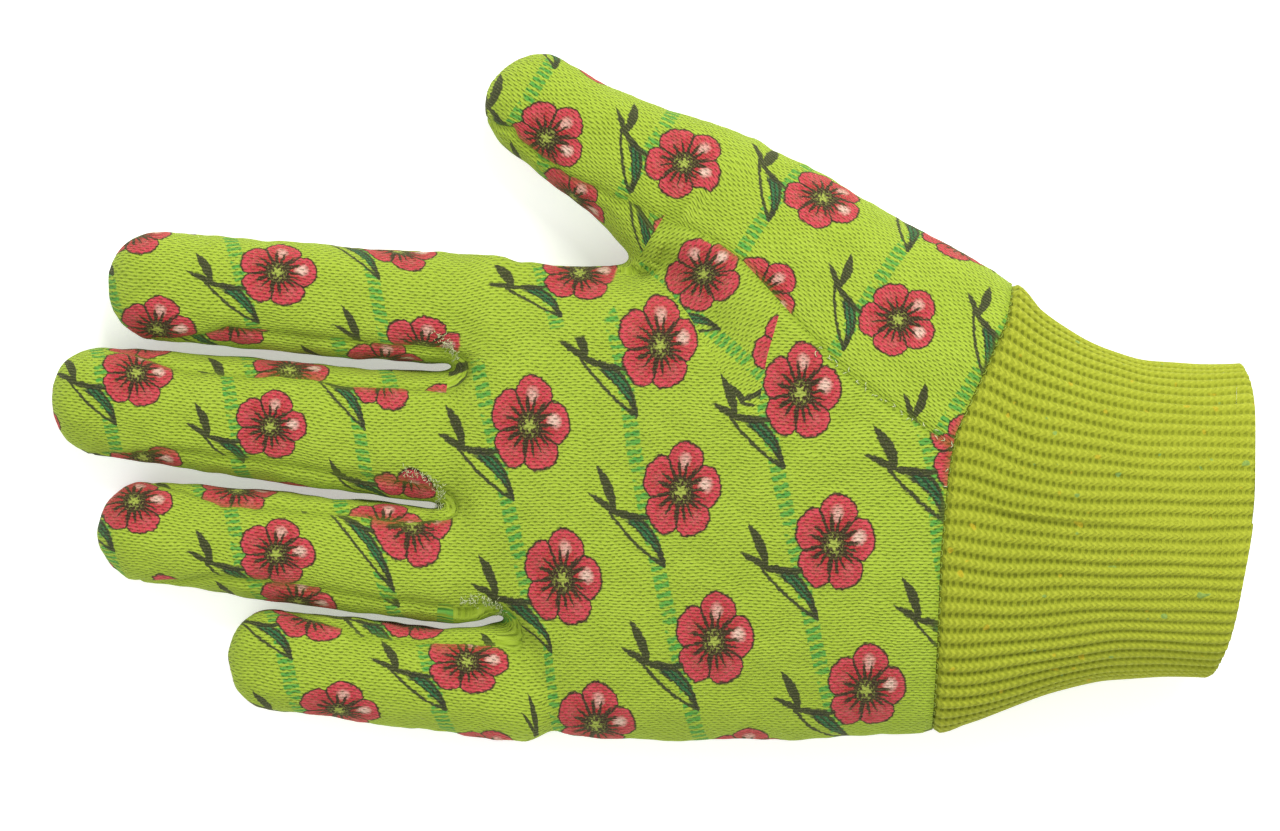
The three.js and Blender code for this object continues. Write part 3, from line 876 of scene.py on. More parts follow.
def shell(t, wall):
    """Closes a patch of the skin into a thin solid: outer face, inner face and rim."""
    used, local = np.unique(t, return_inverse=True)
    t = local.reshape(-1, 3)
    outer = Skin.points[used]
    inner = outer - Skin.normals[used] * wall
    count = len(used)
    edges = edges_of(t)
    key = np.minimum(edges[:, 0], edges[:, 1]) * count + np.maximum(edges[:, 0], edges[:, 1])
    _, first, counts = np.unique(key, return_index=True, return_counts=True)
    border = edges[first[counts == 1]]
    a, b = border[:, 0], border[:, 1]
    rim = np.concatenate([np.stack([b, a, a + count], 1), np.stack([b, a + count, b + count], 1)])
    faces = np.concatenate([t, t[:, ::-1] + count, rim])
    points = np.concatenate([outer, inner])
    sharp = np.zeros(2 * count, bool)
    sharp[border.ravel()] = True
    sharp[border.ravel() + count] = True
    return points, faces, outer, sharp


def body_of_panel(name):
    """The limb and the stretch of it that a panel covers, if it is not on the hand."""
    for finger in limbs:
        for stretch in ("near", "far"):
            if name.startswith(f"{finger}_{stretch}"):
                return finger, stretch
    return None, None


LEAST_CUT = 10.0  # the least side of a cut
LEAST_SHARE = 0.31  # the least of its rectangle that a cut may fill


def flat_cut(ku, kv, piece):
    """Width, length and area in metres of a panel as it was cut, from where its knit runs."""
    turns = np.radians(np.arange(0, 90, 5))
    boxes = []
    for turn in turns:
        across = ku * math.cos(turn) + kv * math.sin(turn)
        along = kv * math.cos(turn) - ku * math.sin(turn)
        boxes.append((max(np.ptp(across), LEAST_CUT), max(np.ptp(along), LEAST_CUT)))
    width, length = min(boxes, key=lambda box: box[0] * box[1])
    both_faces = np.empty(len(piece.data.polygons))
    piece.data.polygons.foreach_get("area", both_faces)
    area = both_faces.sum() / 2 / MM ** 2
    length = max(length, area / width)
    return (width * MM, length * MM), max(area, LEAST_SHARE * width * length) * MM ** 2


pieces, cuts = {}, {}
for name, t in panels.items():
    points, faces, outer, sharp = shell(t, JERSEY_WALL)
    u, v, ku, kv, *blank = cloth_of(name, outer)
    seam = seam_gap(outer, finger_of(outer))
    # the third value is 0 where printed, -1 where plain, and 1 on the inner face
    printed = on_both_faces(u, v, -blank[0] if blank else np.zeros(len(outer)))
    printed[len(outer):, 2] = 1
    knit = on_both_faces(ku, kv, np.clip(seam, 0, 10))
    obj = make_mesh("skin_" + name, points, faces, {"print_place": printed, "knit_place": knit}, sharp)
    pieces[name] = obj
    cuts[name] = flat_cut(ku, kv, obj)

# ------------------------------------------------------------------ rib-knit wrist

RIB_COLUMNS = 8
COLUMNS = RIBS * RIB_COLUMNS
STATION_STEP = 0.5
STATIONS = np.arange(-13, 60.01, STATION_STEP)
FLUSH_REACH = 6.5  # how far beyond the seam the cuff follows the hand's skin
cuff_rows = smooth_rows(CUFF, 2.0)


def even_ring(wide, high, power_up, power_down, count):
    """Points evenly spaced round a superellipse, starting at its top and going towards +Y."""
    angle = np.linspace(0, 2 * np.pi, 1441)
    c, s = np.cos(angle), np.sin(angle)
    power = np.where(c > 0, power_up, power_down)
    y = wide * np.sign(s) * np.abs(s) ** (2 / power)
    z = high * np.sign(c) * np.abs(c) ** (2 / power)
    length = np.concatenate([[0], np.cumsum(np.hypot(np.diff(y), np.diff(z)))])
    at = np.arange(count) / count * length[-1]
    return np.interp(at, length, y), np.interp(at, length, z)


rings = []
for s in STATIONS:
    middle, wide, mid_z, high = cuff_rows(s)
    y, z = even_ring(wide, high, UPPER_POWER, LOWER_POWER, COLUMNS)
    rings.append(np.stack([y + middle, z + mid_z], 1))
rings = np.array(rings)


def cuff_point(s, column):
    """Place on the smooth shape of the wrist at distances s, for each column."""
    at = np.clip((s - STATIONS[0]) / STATION_STEP, 0, len(STATIONS) - 1.001)
    i = at.astype(int)
    f = (at - i)[..., None]
    yz = rings[i, column] * (1 - f) + rings[i + 1, column] * f
    x = WRIST_X + s + yz[..., 0] * math.tan(WRIST_TILT)
    return np.stack([x, yz[..., 0], yz[..., 1]], -1)


def outward(p):
    """Normals of a grid of points, rows along the cuff and columns round it."""
    along = np.gradient(p, axis=0)
    round_it = np.roll(p, -1, 1) - np.roll(p, 1, 1)
    n = unit(np.cross(along, round_it))
    centre = p.mean(1, keepdims=True)
    flip = np.sign(((p - centre) * n).sum(2).mean())
    return n * flip


def field_slope(p):
    out = np.zeros_like(p)
    for axis in range(3):
        step = np.zeros(3)
        step[axis] = 0.5
        out[:, axis] = sample(skin, p + step) - sample(skin, p - step)
    return out


def onto_skin(p, rounds):
    """Points moved round the hand, not along it, until they lie on its skin, and the slope there."""
    for _ in range(rounds):
        slope = field_slope(p)
        size = np.maximum((slope ** 2).sum(1), 0.2)
        move = slope * (sample(skin, p) / size)[:, None]
        move[:, 0] = 0
        p = p - move
    return p, slope


column = np.arange(COLUMNS)
seam_s = np.zeros(COLUMNS)
# slide each column's start along the cuff until it meets the seam
for _ in range(6):
    place = cuff_point(seam_s, column)
    seam_s += read_off(place[:, 1], WRIST_SEAM) - place[:, 0]
rib_height = np.random.default_rng(4).uniform(0.72, 1.15, RIBS)


def cuff_tube(start, end, count, tuck):
    """A stretch of rib knit: its smooth shape, normals, ribs, and where on the ribs each point is."""
    t = np.linspace(0, 1, count)[:, None]
    s = start + (end - start) * t
    p = cuff_point(s, np.broadcast_to(column, s.shape))
    from_seam = s - seam_s
    flush = 1 - ease(from_seam / FLUSH_REACH)
    on_skin, _ = onto_skin(p.reshape(-1, 3), 3)
    p = p + (on_skin.reshape(p.shape) - p) * flush[..., None]
    n = outward(p)
    phase = column / RIB_COLUMNS + 0.10 * np.sin(s / 9 + column / 37) + 0.06 * np.sin(s / 3.7 + column / 11)
    ridge = np.abs(np.cos(np.pi * phase)) ** 0.9 * rib_height[np.round(phase).astype(int) % RIBS]
    depth = 0.50 * ease(from_seam / 2.5) + 0.2
    wave = 0.25 * np.sin(s / 11 + column / 60) + 0.15 * np.sin(s / 5 - column / 23)
    lift = depth * (ridge - 0.85) + wave * ease(from_seam / 10) - tuck * (1 - ease(from_seam / 1.6))
    return p, n, lift, phase, s


def close_tube(outer, inner):
    """Faces of a tube wall from two grids of the same size."""
    rows, cols = outer.shape[:2]
    grid = np.arange(rows * cols).reshape(rows, cols)
    right = np.roll(grid, -1, 1)
    off = rows * cols
    a, b, c, d = grid[:-1], right[:-1], right[1:], grid[1:]
    faces = [np.stack([a, b, c, d], -1).reshape(-1, 4)]
    faces.append(np.stack([d, c, b, a], -1).reshape(-1, 4) + off)
    faces.append(np.stack([grid[0] + off, right[0] + off, right[0], grid[0]], -1))
    faces.append(np.stack([grid[-1], right[-1], right[-1] + off, grid[-1] + off], -1))
    return np.concatenate([outer.reshape(-1, 3), inner.reshape(-1, 3)]), np.concatenate(faces)


def make_cuff(name, start, end, count, tuck, wall, roll):
    p, n, lift, phase, s = cuff_tube(start, end, count, tuck)
    t = np.linspace(0, 1, count)[:, None]
    # the free edge turns over in a soft roll
    pinch = roll * np.clip((t - 0.45) / 0.55, 0, 1) ** 2.5
    outer = p + n * (lift - pinch)[..., None]
    outer[..., 2] = np.maximum(outer[..., 2], 0.02)
    inner_ridge = np.abs(np.sin(np.pi * phase)) ** 0.8
    thickness = wall + 0.3 * inner_ridge - 2 * pinch * 0.8
    inner = p + n * (lift * 0.25 - 0.15 - thickness)[..., None]
    points, faces = close_tube(outer, inner)
    first = points[faces[0]]
    facing = np.cross(first[1] - first[0], first[2] - first[0])
    if facing @ (first[0] - outer[0].mean(0)) < 0:
        faces = faces[:, ::-1]
    place = on_both_faces(np.abs(phase - np.round(phase)), s, np.zeros(phase.size))
    place[phase.size:, 2] = 1
    seam = on_both_faces(*[s - seam_s] * 3)
    rims = np.zeros((count, COLUMNS), bool)
    rims[[0, -1]] = True
    sharp = np.tile(rims.ravel(), 2)
    obj = make_mesh(name, points, faces, {"rib_place": place, "rib_seam": seam, "rib_spot": points}, sharp)
    return obj


hem_start = np.full(COLUMNS, HEM_START) + 0.2 * np.sin(column / 19)
end_y = cuff_point(np.full(COLUMNS, CUFF_END), column)[:, 1]
hem_wave = 0.25 * np.sin(column / 41) + 0.15 * np.sin(column / 13 + 1)
hem_end = CUFF_END + 0.8 - 0.0025 * (end_y + 30) ** 2 + hem_wave
cuff = make_cuff("rib_knit_wrist", seam_s - 0.9, hem_start, count=60, tuck=1.5, wall=1.6, roll=0.0)
hem = make_cuff("wrist_hem", hem_start + 0.02, hem_end, count=8, tuck=0.0, wall=2.0, roll=0.9)

# ------------------------------------------------------------------ sewing threads


THREAD_SIDES = 5
FORK_TOP = 20.0  # height of a thread that hangs over the gap between two fingers


def thread_mesh(name, groups):
    """Fine round threads from groups of (lists of points, radius, whiteness)."""
    all_points, all_faces, tints, count = [], [], [], 0
    for path, radius, tint in [(path, *look) for paths, *look in groups for path in paths]:
        path = np.asarray(path, float)
        n = len(path)
        along = unit(np.gradient(path, axis=0))
        right = unit(np.cross(along, (0.13, 0.21, 0.97)))
        top = np.cross(right, along)
        size = np.full(n, radius)
        size[0] = size[-1] = 0.45 * radius
        for k in range(THREAD_SIDES):
            angle = 2 * math.pi * k / THREAD_SIDES
            around = right * math.cos(angle) + top * math.sin(angle)
            all_points.append(path + around * size[:, None])
            a = count + k * n + np.arange(n - 1)
            b = count + (k + 1) % THREAD_SIDES * n + np.arange(n - 1)
            all_faces.append(np.stack([a, a + 1, b + 1], 1))
            all_faces.append(np.stack([a, b + 1, b], 1))
        for end, order in ((0, 1), (n - 1, -1)):
            first, *ring = [count + k * n + end for k in range(THREAD_SIDES)][::order]
            all_faces.append(np.array([[first, *pair] for pair in zip(ring, ring[1:])]))
        tints.append(np.full((THREAD_SIDES * n, 3), tint))
        count += THREAD_SIDES * n
    points = np.concatenate(all_points)
    looks = {"thread_place": points, "thread_tint": np.concatenate(tints)}
    obj = make_mesh(name, points, np.concatenate(all_faces), looks)
    return obj


skin_tree = BVHTree.FromPolygons(Skin.points.tolist(), whole_hand.tolist())
rng = np.random.default_rng(11)


def lay_on_top(x, y, lift):
    """The point of the cloth under a place seen from above, lifted off it."""
    hit, normal, _, _ = skin_tree.ray_cast(Vector((x, y, 70)), Vector((0, 0, -1)))
    if hit is None:
        return np.array([x, y, FORK_TOP])
    return np.array(hit) + np.array(normal) * lift


def walk(line, step):
    """Evenly spaced points along a line seen from above, with the direction at each."""
    line = np.array(line, float)
    length = np.concatenate([[0], np.cumsum(np.hypot(*np.diff(line, axis=0).T))])
    at = np.arange(0, length[-1], step)
    p = np.stack([np.interp(at, length, line[:, i]) for i in (0, 1)], 1)
    return p, unit(np.gradient(p, axis=0))


def overlock(line, step, width, lift):
    """A zigzag of thread over a seam."""
    p, d = walk(line, step)
    path = []
    for i in range(len(p)):
        side = np.array([-d[i, 1], d[i, 0]]) * width * (1 if i % 2 else -1)
        x, y = p[i] + side * rng.uniform(0.6, 1.2)
        path.append(lay_on_top(x, y, lift * rng.uniform(0.7, 1.4)))
    return path


def fluff(centres, loops, spread, size):
    """Short loose loops and ends of thread round some places on the cloth."""
    paths = []
    for cx, cy in centres:
        for _ in range(loops):
            x, y = cx + rng.normal() * spread, cy + rng.normal() * spread
            base = lay_on_top(x, y, 0.1)
            turn = rng.uniform(0, 6.28)
            reach = size * rng.uniform(0.5, 1.3)
            t = np.linspace(0, 1, 7)
            bend = rng.uniform(-1.5, 1.5)
            px = base[0] + reach * t * np.cos(turn + bend * t)
            py = base[1] + reach * t * np.sin(turn + bend * t)
            path = [lay_on_top(a, b, 0.12 + 0.45 * math.sin(math.pi * f)) for a, b, f in zip(px, py, t)]
            paths.append(path)
    return paths


STITCH_LINE = [(3, 33), (9.5, 30.5), (17.7, 26.5), (29.3, 14.1), (37.5, 5.1), (46, -1), (57, -8.4)]
TUFT_LINE = [(33, 9.5), (37.5, 5.1), (46, -1), (57.5, -8.6)]
thumb_seam = [overlock(STITCH_LINE, 1.1, 0.35, -0.25)]
tufts, _ = walk(TUFT_LINE, 2.3)
thumb_fluff = fluff(tufts, 2, 0.35, 0.9)
thumb_thread = thread_mesh("thumb_seam_stitching", [(thumb_seam, 0.09, 0.15), (thumb_fluff, 0.08, 0.85)])

CROTCHES = {  # the places where white thread shows at the fork between two fingers
    "index_middle": [(-43, 12.5), (-41, 11.5), (-39.5, 9.5), (-39, 7.5)],
    "middle_ring": [(-49, -14.5), (-45.5, -15.5), (-43, -17), (-42, -19.5), (-42.5, -22.5)],
    "ring_little": [(-38, -40.5), (-34, -40), (-31, -41), (-30, -43)],
}
crotch_threads = {}
for name, line in CROTCHES.items():
    centres, _ = walk(line, 0.9)
    groups = [(fluff(centres, 5, 0.5, 0.6), 0.05, 0.6), (fluff(centres, 4, 0.4, 0.6), 0.055, 1.0)]
    crotch_threads[name] = thread_mesh(name + "_fork_stitching", groups)

seam_ring, slope = onto_skin(cuff_point(seam_s, column), 4)
ring_path = seam_ring - unit(slope) * 0.75
ring_path[:, 0] += np.where(column // 3 % 2 == 0, 0.35, -0.35)
half_way = COLUMNS // 2
wrist_paths = [ring_path[:half_way + 1], np.concatenate([ring_path[half_way:], ring_path[:1]])]
wrist_tufts = [(59.6, -9.5), (59.3, -11.5), (58.6, -14), (58.2, -18), (57.8, -22)]
wrist_fluff = fluff(wrist_tufts, 2, 0.35, 0.8)
wrist_thread = thread_mesh("wrist_seam_stitching", [(wrist_paths, 0.09, 0.0), (wrist_fluff, 0.08, 0.9)])

# ------------------------------------------------------------------ materials


def linear(*rgb):
    return [((c / 255 + 0.055) / 1.055) ** 2.4 if c > 10 else c / 255 / 12.92 for c in rgb] + [1.0]


class Graph:
    """Arithmetic on node sockets."""

    def __init__(self, name):
        self.material = bpy.data.materials.new(name)
        self.material.use_nodes = True
        self.tree = self.material.node_tree
        self.tree.nodes.clear()

    def node(self, kind, **settings):
        made = self.tree.nodes.new(kind)
        for key, value in settings.items():
            setattr(made, key, value)
        return made

    def feed(self, socket, value):
        if isinstance(value, Term):
            self.tree.links.new(value.socket, socket)
        else:
            socket.default_value = value

    def math(self, operation, *values, clamp=False):
        made = self.node("ShaderNodeMath", operation=operation, use_clamp=clamp)
        for socket, value in zip(made.inputs, values):
            self.feed(socket, value)
        return Term(self, made.outputs[0])

    def attribute(self, name):
        made = self.node("ShaderNodeAttribute", attribute_name=name)
        apart = self.node("ShaderNodeSeparateXYZ")
        self.tree.links.new(made.outputs["Vector"], apart.inputs[0])
        return Term(self, made.outputs["Vector"]), [Term(self, apart.outputs[i]) for i in range(3)]

    def vector(self, x, y, z=0.0):
        made = self.node("ShaderNodeCombineXYZ")
        for socket, value in zip(made.inputs, (x, y, z)):
            self.feed(socket, value)
        return Term(self, made.outputs[0])

    def noise(self, vector, scale, detail=2.0, roughness=0.5):
        made = self.node("ShaderNodeTexNoise")
        self.feed(made.inputs["Vector"], vector)
        made.inputs["Scale"].default_value = scale
        made.inputs["Detail"].default_value = detail
        made.inputs["Roughness"].default_value = roughness
        return Term(self, made.outputs["Fac"])

    def shifted(self, vector, amount):
        made = self.node("ShaderNodeVectorMath", operation="ADD")
        self.feed(made.inputs[0], vector)
        made.inputs[1].default_value = (amount, 0.0, 0.0)
        return Term(self, made.outputs[0])

    def wave(self, value, pitch, operation="COSINE"):
        return self.math(operation, value * (2 * math.pi / pitch))

    def mix(self, share, a, b):
        made = self.node("ShaderNodeMix", data_type="RGBA")
        self.feed(made.inputs[0], share)
        self.feed(made.inputs[6], a)
        self.feed(made.inputs[7], b)
        return Term(self, made.outputs[2])

    def step(self, value, width=0.12):
        """0 below nothing, 1 above, with a soft edge of that width."""
        made = self.node("ShaderNodeMapRange", interpolation_type="SMOOTHSTEP")
        self.feed(made.inputs["Value"], value)
        made.inputs["From Min"].default_value = -width
        made.inputs["From Max"].default_value = width
        return Term(self, made.outputs["Result"])

    def below(self, value, limit, width):
        """1 where a value is below a limit, 0 above it, with a soft edge of that width."""
        return 1.0 - self.step(value - limit, width)


class Term:
    """A value in a graph."""

    def __init__(self, graph, socket):
        self.graph, self.socket = graph, socket

    def __add__(self, other):
        return self.graph.math("ADD", self, other)

    __radd__ = __add__

    def __sub__(self, other):
        return self.graph.math("SUBTRACT", self, other)

    def __rsub__(self, other):
        return self.graph.math("SUBTRACT", other, self)

    def __mul__(self, other):
        return self.graph.math("MULTIPLY", self, other)

    def __truediv__(self, other):
        return self.graph.math("DIVIDE", self, other)

    def __abs__(self):
        return self.graph.math("ABSOLUTE", self)

    def __neg__(self):
        return self.graph.math("MULTIPLY", self, -1.0)

    def fn(self, operation, *others, clamp=False):
        return self.graph.math(operation, self, *others, clamp=clamp)

    def capped(self, most=1.0):
        return self.fn("MINIMUM", most, clamp=True)


def finish_surface(g, colour, height, depth, roughness, sheen, sheen_tint):
    """A rough fibrous surface with a bump from a height in mm."""
    shader = g.node("ShaderNodeBsdfPrincipled")
    g.feed(shader.inputs["Base Color"], colour)
    shader.inputs["Roughness"].default_value = roughness
    shader.inputs["Specular IOR Level"].default_value = 0.18
    shader.inputs["Sheen Weight"].default_value = sheen
    shader.inputs["Sheen Roughness"].default_value = 0.45
    shader.inputs["Sheen Tint"].default_value = sheen_tint
    relief = g.node("ShaderNodeBump")
    relief.inputs["Strength"].default_value = 1.0
    relief.inputs["Distance"].default_value = depth * MM
    g.feed(relief.inputs["Height"], height)
    g.tree.links.new(relief.outputs[0], shader.inputs["Normal"])
    out = g.node("ShaderNodeOutputMaterial")
    g.tree.links.new(shader.outputs[0], out.inputs[0])
    return g.material


def leaf_shape(x, y, start, end, width, bow):
    """Depth inside a blade from one point to another, in mm, and which half of it."""
    dx, dy = end[0] - start[0], end[1] - start[1]
    length = math.hypot(dx, dy)
    cx, cy = dx / length, dy / length
    rx, ry = x - start[0], y - start[1]
    raw = rx * (cx / length) + ry * (cy / length)
    t = raw.fn("MAXIMUM", 0.0).fn("MINIMUM", 1.0)
    swell = t * (1.0 - t) * 4.0
    mid = ry * cx - rx * cy - swell * bow
    return swell * width - abs(mid) - abs(raw - t) * (length * 2.0), mid


LIME_LOW = linear(143, 167, 41)
LIME_HIGH = linear(161, 184, 60)
LIME_GROOVE = linear(104, 128, 12)
HOLE = linear(66, 86, 4)
# pale fibres, and a painted highlight on the tops of the jersey's strands
FIBRE_AND_HIGHLIGHT = linear(176, 186, 108)
MARK_GREEN = linear(42, 138, 58)
PETAL_PALE = linear(190, 60, 78)
PETAL_DEEP = linear(162, 28, 45)
PETAL_SHINE = linear(220, 196, 178)
OUTLINE_RED = linear(50, 28, 26)
POLLEN = linear(146, 158, 66)
LEAF_GREEN = linear(34, 92, 56)
LEAF_DARK = linear(32, 46, 36)
CHARCOAL = linear(42, 40, 33)
NAP_LOW = linear(136, 152, 62)
NAP_HIGH = linear(160, 170, 98)
JERSEY_SHEEN = linear(215, 232, 140)
RIB_LOW = linear(154, 162, 42)
RIB_HIGH = linear(176, 184, 58)
RIB_ROW = linear(112, 122, 14)
RIB_VALLEY = linear(112, 122, 12)
RIB_HOLE = linear(70, 78, 4)
# painted shade beside the wrist seam
RIB_SEAM_SHADE = linear(84, 96, 10)
# rarity, share and colour of the stray fibres
RIB_FLECKS = ((0.80, 0.6, linear(190, 166, 40)), (0.83, 0.5, linear(84, 146, 92)))
RIB_INSIDE_LOW = linear(122, 132, 34)
RIB_INSIDE_HIGH = linear(146, 154, 50)
RIB_SHEEN = linear(220, 228, 140)
THREAD_LOW = linear(132, 154, 40)
THREAD_WHITE = linear(206, 210, 176)
THREAD_TWIST = linear(160, 176, 90)
THREAD_SHEEN = linear(240, 240, 230)

PETALS = 5
FLOWER_OFF_CELL = (4.6, 1.2)  # from the flower to the middle of its cell of the lattice
STITCH_PITCH, STITCH_ROW = 1.6, 0.62
RIB_STITCH_PITCH = 1.3


def flower_print(g, x, y, rag, fine):
    """Where the printed flower is, and its colour there."""
    wide_x, tall_y = x * 0.93, y * 1.02
    r = (wide_x * wide_x + tall_y * tall_y).fn("SQRT")
    angle = tall_y.fn("ARCTAN2", wide_x)
    from_top = (angle - (math.pi / 2 - 0.16)).fn("WRAP", math.pi, -math.pi)
    sector = math.pi / PETALS
    petal = from_top.fn("WRAP", sector, -sector)
    off = abs(petal) / sector
    top = (1.0 - (from_top / 0.5) * (from_top / 0.5)).fn("MAXIMUM", 0.0)
    lumps = g.noise(g.vector(g.math("COSINE", angle), g.math("SINE", angle), 2.0), 2.6, 2.0)
    radius = 7.15 - off.fn("POWER", 3.5) * 1.35 + (lumps - 0.5) * 1.5 + top * 0.45
    depth_in = radius - r
    rim = g.below(abs(depth_in), 0.26, 0.16)
    partings = g.below(r * (sector - abs(petal)), 0.22, 0.14) * g.step(depth_in, 0.1)
    rays = g.math("SINE", angle * 16.0 + (lumps - 0.5) * 6.0)
    streaks = g.step(rays - (r - 2.95) * 0.62 + (fine - 0.5) * 1.4, 0.25) * g.step(r - 1.9, 0.2)
    hatch = g.math("SINE", angle * 31.0 + (fine - 0.5) * 3.0)
    hatches = g.step(hatch - 0.62 - abs(r - 4.6) * 0.22, 0.3) * 0.16
    core = 1.0 - g.step(r - 2.25 + (fine - 0.5) * 2.4, 0.3)
    speckle = g.step(g.noise(g.vector(x, y, 5.0), 2.2, 1.0) - 0.56, 0.06) * g.below(r, 1.9, 0.4)
    star = g.step(0.8 + g.math("COSINE", angle * 5.0 + 1.0) * 0.25 - r + (fine - 0.5) * 0.4, 0.18)
    shine_spot = 1.0 - (abs(petal - 0.06) / 0.30).fn("POWER", 2.0) - (abs(r - 4.5) / 1.6).fn("POWER", 2.0)
    shine_side = g.math("COSINE", angle - 0.6).fn("MAXIMUM", 0.0)
    shine = (shine_spot.fn("MAXIMUM", 0.0) * (0.06 + shine_side * 0.9)) * (0.2 + fine * 1.4)
    inward = (depth_in * 0.22 + (rag - 0.5) * 1.6 + 0.1).capped()
    colour = g.mix(inward, PETAL_PALE, PETAL_DEEP)
    colour = g.mix(shine.capped(0.85), colour, PETAL_SHINE)
    colour = g.mix((rim + partings + streaks + hatches + core).capped(), colour, OUTLINE_RED)
    colour = g.mix((star + speckle * 0.55).fn("MINIMUM", 1.0), colour, POLLEN)
    return g.step(depth_in + 0.10, 0.14), colour


def leaf_print(g, x, y):
    """Where the stem's and leaves' dark lines are, where their green is, and its colour there."""
    stem, _ = leaf_shape(x, y, (-15.2, -2.9), (-4.5, -3.7), 0.58, -0.5)
    nub, _ = leaf_shape(x, y, (-18.4, -1.2), (-11.5, -4.1), 0.58, 0.1)
    upper, _ = leaf_shape(x, y, (-16.8, 3.0), (-12.8, -3.8), 0.95, 0.5)
    blade, half = leaf_shape(x, y, (-14.2, -3.4), (-3.0, -10.9), 1.75, 1.15)
    blade_rim = g.below(abs(blade), 0.28, 0.12)
    vein = g.below(abs(half), 0.13, 0.1) * g.step(blade, 0.1) * g.step(x + 11.0, 1.0)
    filled = g.step(blade, 0.12) * g.step(half + 0.05, 0.1) * g.step(x + 10.6, 0.6)
    tip_dark = g.step(blade, 0.12) * g.step(x + 4.6, 0.7) * 0.9
    green = g.mix(g.step(g.math("SINE", (x + y * 1.3) * 4.6) - 0.2, 0.4), LEAF_GREEN, LEAF_DARK)
    lines = g.step(stem, 0.12) + g.step(nub, 0.12) + g.step(upper, 0.12) + blade_rim + vein + tip_dark
    return lines.capped(), filled, green


def dash_print(g, cross, along, rag):
    """Plain slanted dashes, in groups along a column between the flowers."""
    lean = along + cross * 0.55
    bars = g.wave(lean, 1.35, "SINE") + g.wave(lean, 3.1, "SINE") * 0.35 + 0.25
    group = abs(g.math("FRACT", along * (1 / 11.4) + 0.2) - 0.5) * 11.4
    marks = g.step(bars, 0.6) * g.step(1.42 - abs(cross), 0.15) * g.step(5.1 - group, 0.2)
    return (marks * (0.50 + rag * 0.6)).capped(0.9)


def jersey_material():
    g = Graph("printed_jersey")
    _, (u, v, inside) = g.attribute("print_place")
    _, (ku, kv, seam) = g.attribute("knit_place")
    flat = g.vector(ku, kv, 0.0)
    slow = g.noise(flat, 0.13, 1.0)
    slow2 = g.noise(g.vector(kv, ku, 7.0), 0.13, 1.0)
    fine = g.noise(flat, 3.2, 2.0, 0.6)
    rag = g.noise(g.vector(ku, kv * 1.6, 3.0), 1.15, 1.5)
    rag2 = g.noise(g.vector(ku, kv * 1.6, 9.0), 1.15, 1.5)

    # each cell of the lattice holds one flower with its stem and leaves
    det = STEP_A[0] * -STEP_B[1] - STEP_B[0] * -STEP_A[1]
    pu = u + (rag - 0.5) * 0.75 + FLOWER_OFF_CELL[0]
    pv = v + (rag2 - 0.5) * 0.75 + FLOWER_OFF_CELL[1]
    m = pu * (-STEP_B[1] / det) + pv * (STEP_B[0] / det)
    n = -(pu * (-STEP_A[1] / det) + pv * (STEP_A[0] / det))
    mc = m - m.fn("ROUND")
    nc = n - n.fn("ROUND")
    x = mc * STEP_A[0] + nc * STEP_B[0] - FLOWER_OFF_CELL[0]
    y = mc * STEP_A[1] + nc * STEP_B[1] - FLOWER_OFF_CELL[1]
    flower, flower_colour = flower_print(g, x, y, rag, fine)
    lines, filled, green = leaf_print(g, x, y)
    cross = (m - g.math("FLOOR", m + 0.60) + 0.10) * (det / math.hypot(*STEP_B))
    marks = dash_print(g, cross, n * math.hypot(*STEP_B), rag)

    # stitches: short dark gaps staggered from row to row
    wu = ku + (slow - 0.5) * 2.4 + (rag - 0.5) * 0.9
    wv = kv + (slow2 - 0.5) * 1.3 + (rag2 - 0.5) * 0.42
    stagger = g.wave(wv, 2 * STITCH_ROW)
    lane = 0.5 + g.wave(wv, STITCH_ROW) * 0.5
    gaps = (-(g.wave(wu, STITCH_PITCH) * stagger)).fn("MAXIMUM", 0.0).fn("POWER", 0.6)
    holes = (gaps * lane.fn("POWER", 3.2) * (0.15 + fine * 1.5)).capped()
    groove = lane.fn("POWER", 3.0) * (1.0 - holes)
    tuft = g.math("SINE", wu * (2 * math.pi / STITCH_PITCH) + stagger * 1.2)
    strands = 1.0 - lane * 0.55 - tuft * 0.12

    lime = g.mix(slow * 0.5 + fine * 0.5, LIME_LOW, LIME_HIGH)
    cloth = g.mix(groove * 0.42, lime, LIME_GROOVE)
    printed = 1.0 - g.step(-0.35 - inside, 0.2)
    cloth = g.mix(marks * printed, cloth, MARK_GREEN)
    cloth = g.mix(filled * printed, cloth, green)
    cloth = g.mix(lines * printed * 0.96, cloth, CHARCOAL)
    cloth = g.mix(flower * printed, cloth, flower_colour)
    # pale fibre flecks, and a painted highlight: the strands' tops between the rows are lightened at random
    pale = (1.0 - lane) * g.step(fine - 0.55, 0.2) * 0.22
    cloth = g.mix(pale, cloth, FIBRE_AND_HIGHLIGHT)
    dimmed = holes * (0.80 - flower * 0.28)
    cloth = g.mix(dimmed.fn("MINIMUM", 1.0), cloth, g.mix(0.34, HOLE, cloth))
    # painted shade: the cloth is darkened along each seam, in the groove the seam draws into the skin
    cloth = g.mix(g.below(seam, 0.75, 0.7) * 0.30, cloth, LIME_GROOVE)
    napped = g.mix(g.noise(flat, 1.4, 3.0), NAP_LOW, NAP_HIGH)
    colour = g.mix(g.step(inside - 0.5, 0.1), cloth, napped)
    height = strands * 0.55 - holes * 0.9 + fine * 0.35
    return finish_surface(g, colour, height, 0.34, 0.88, 0.12, JERSEY_SHEEN)


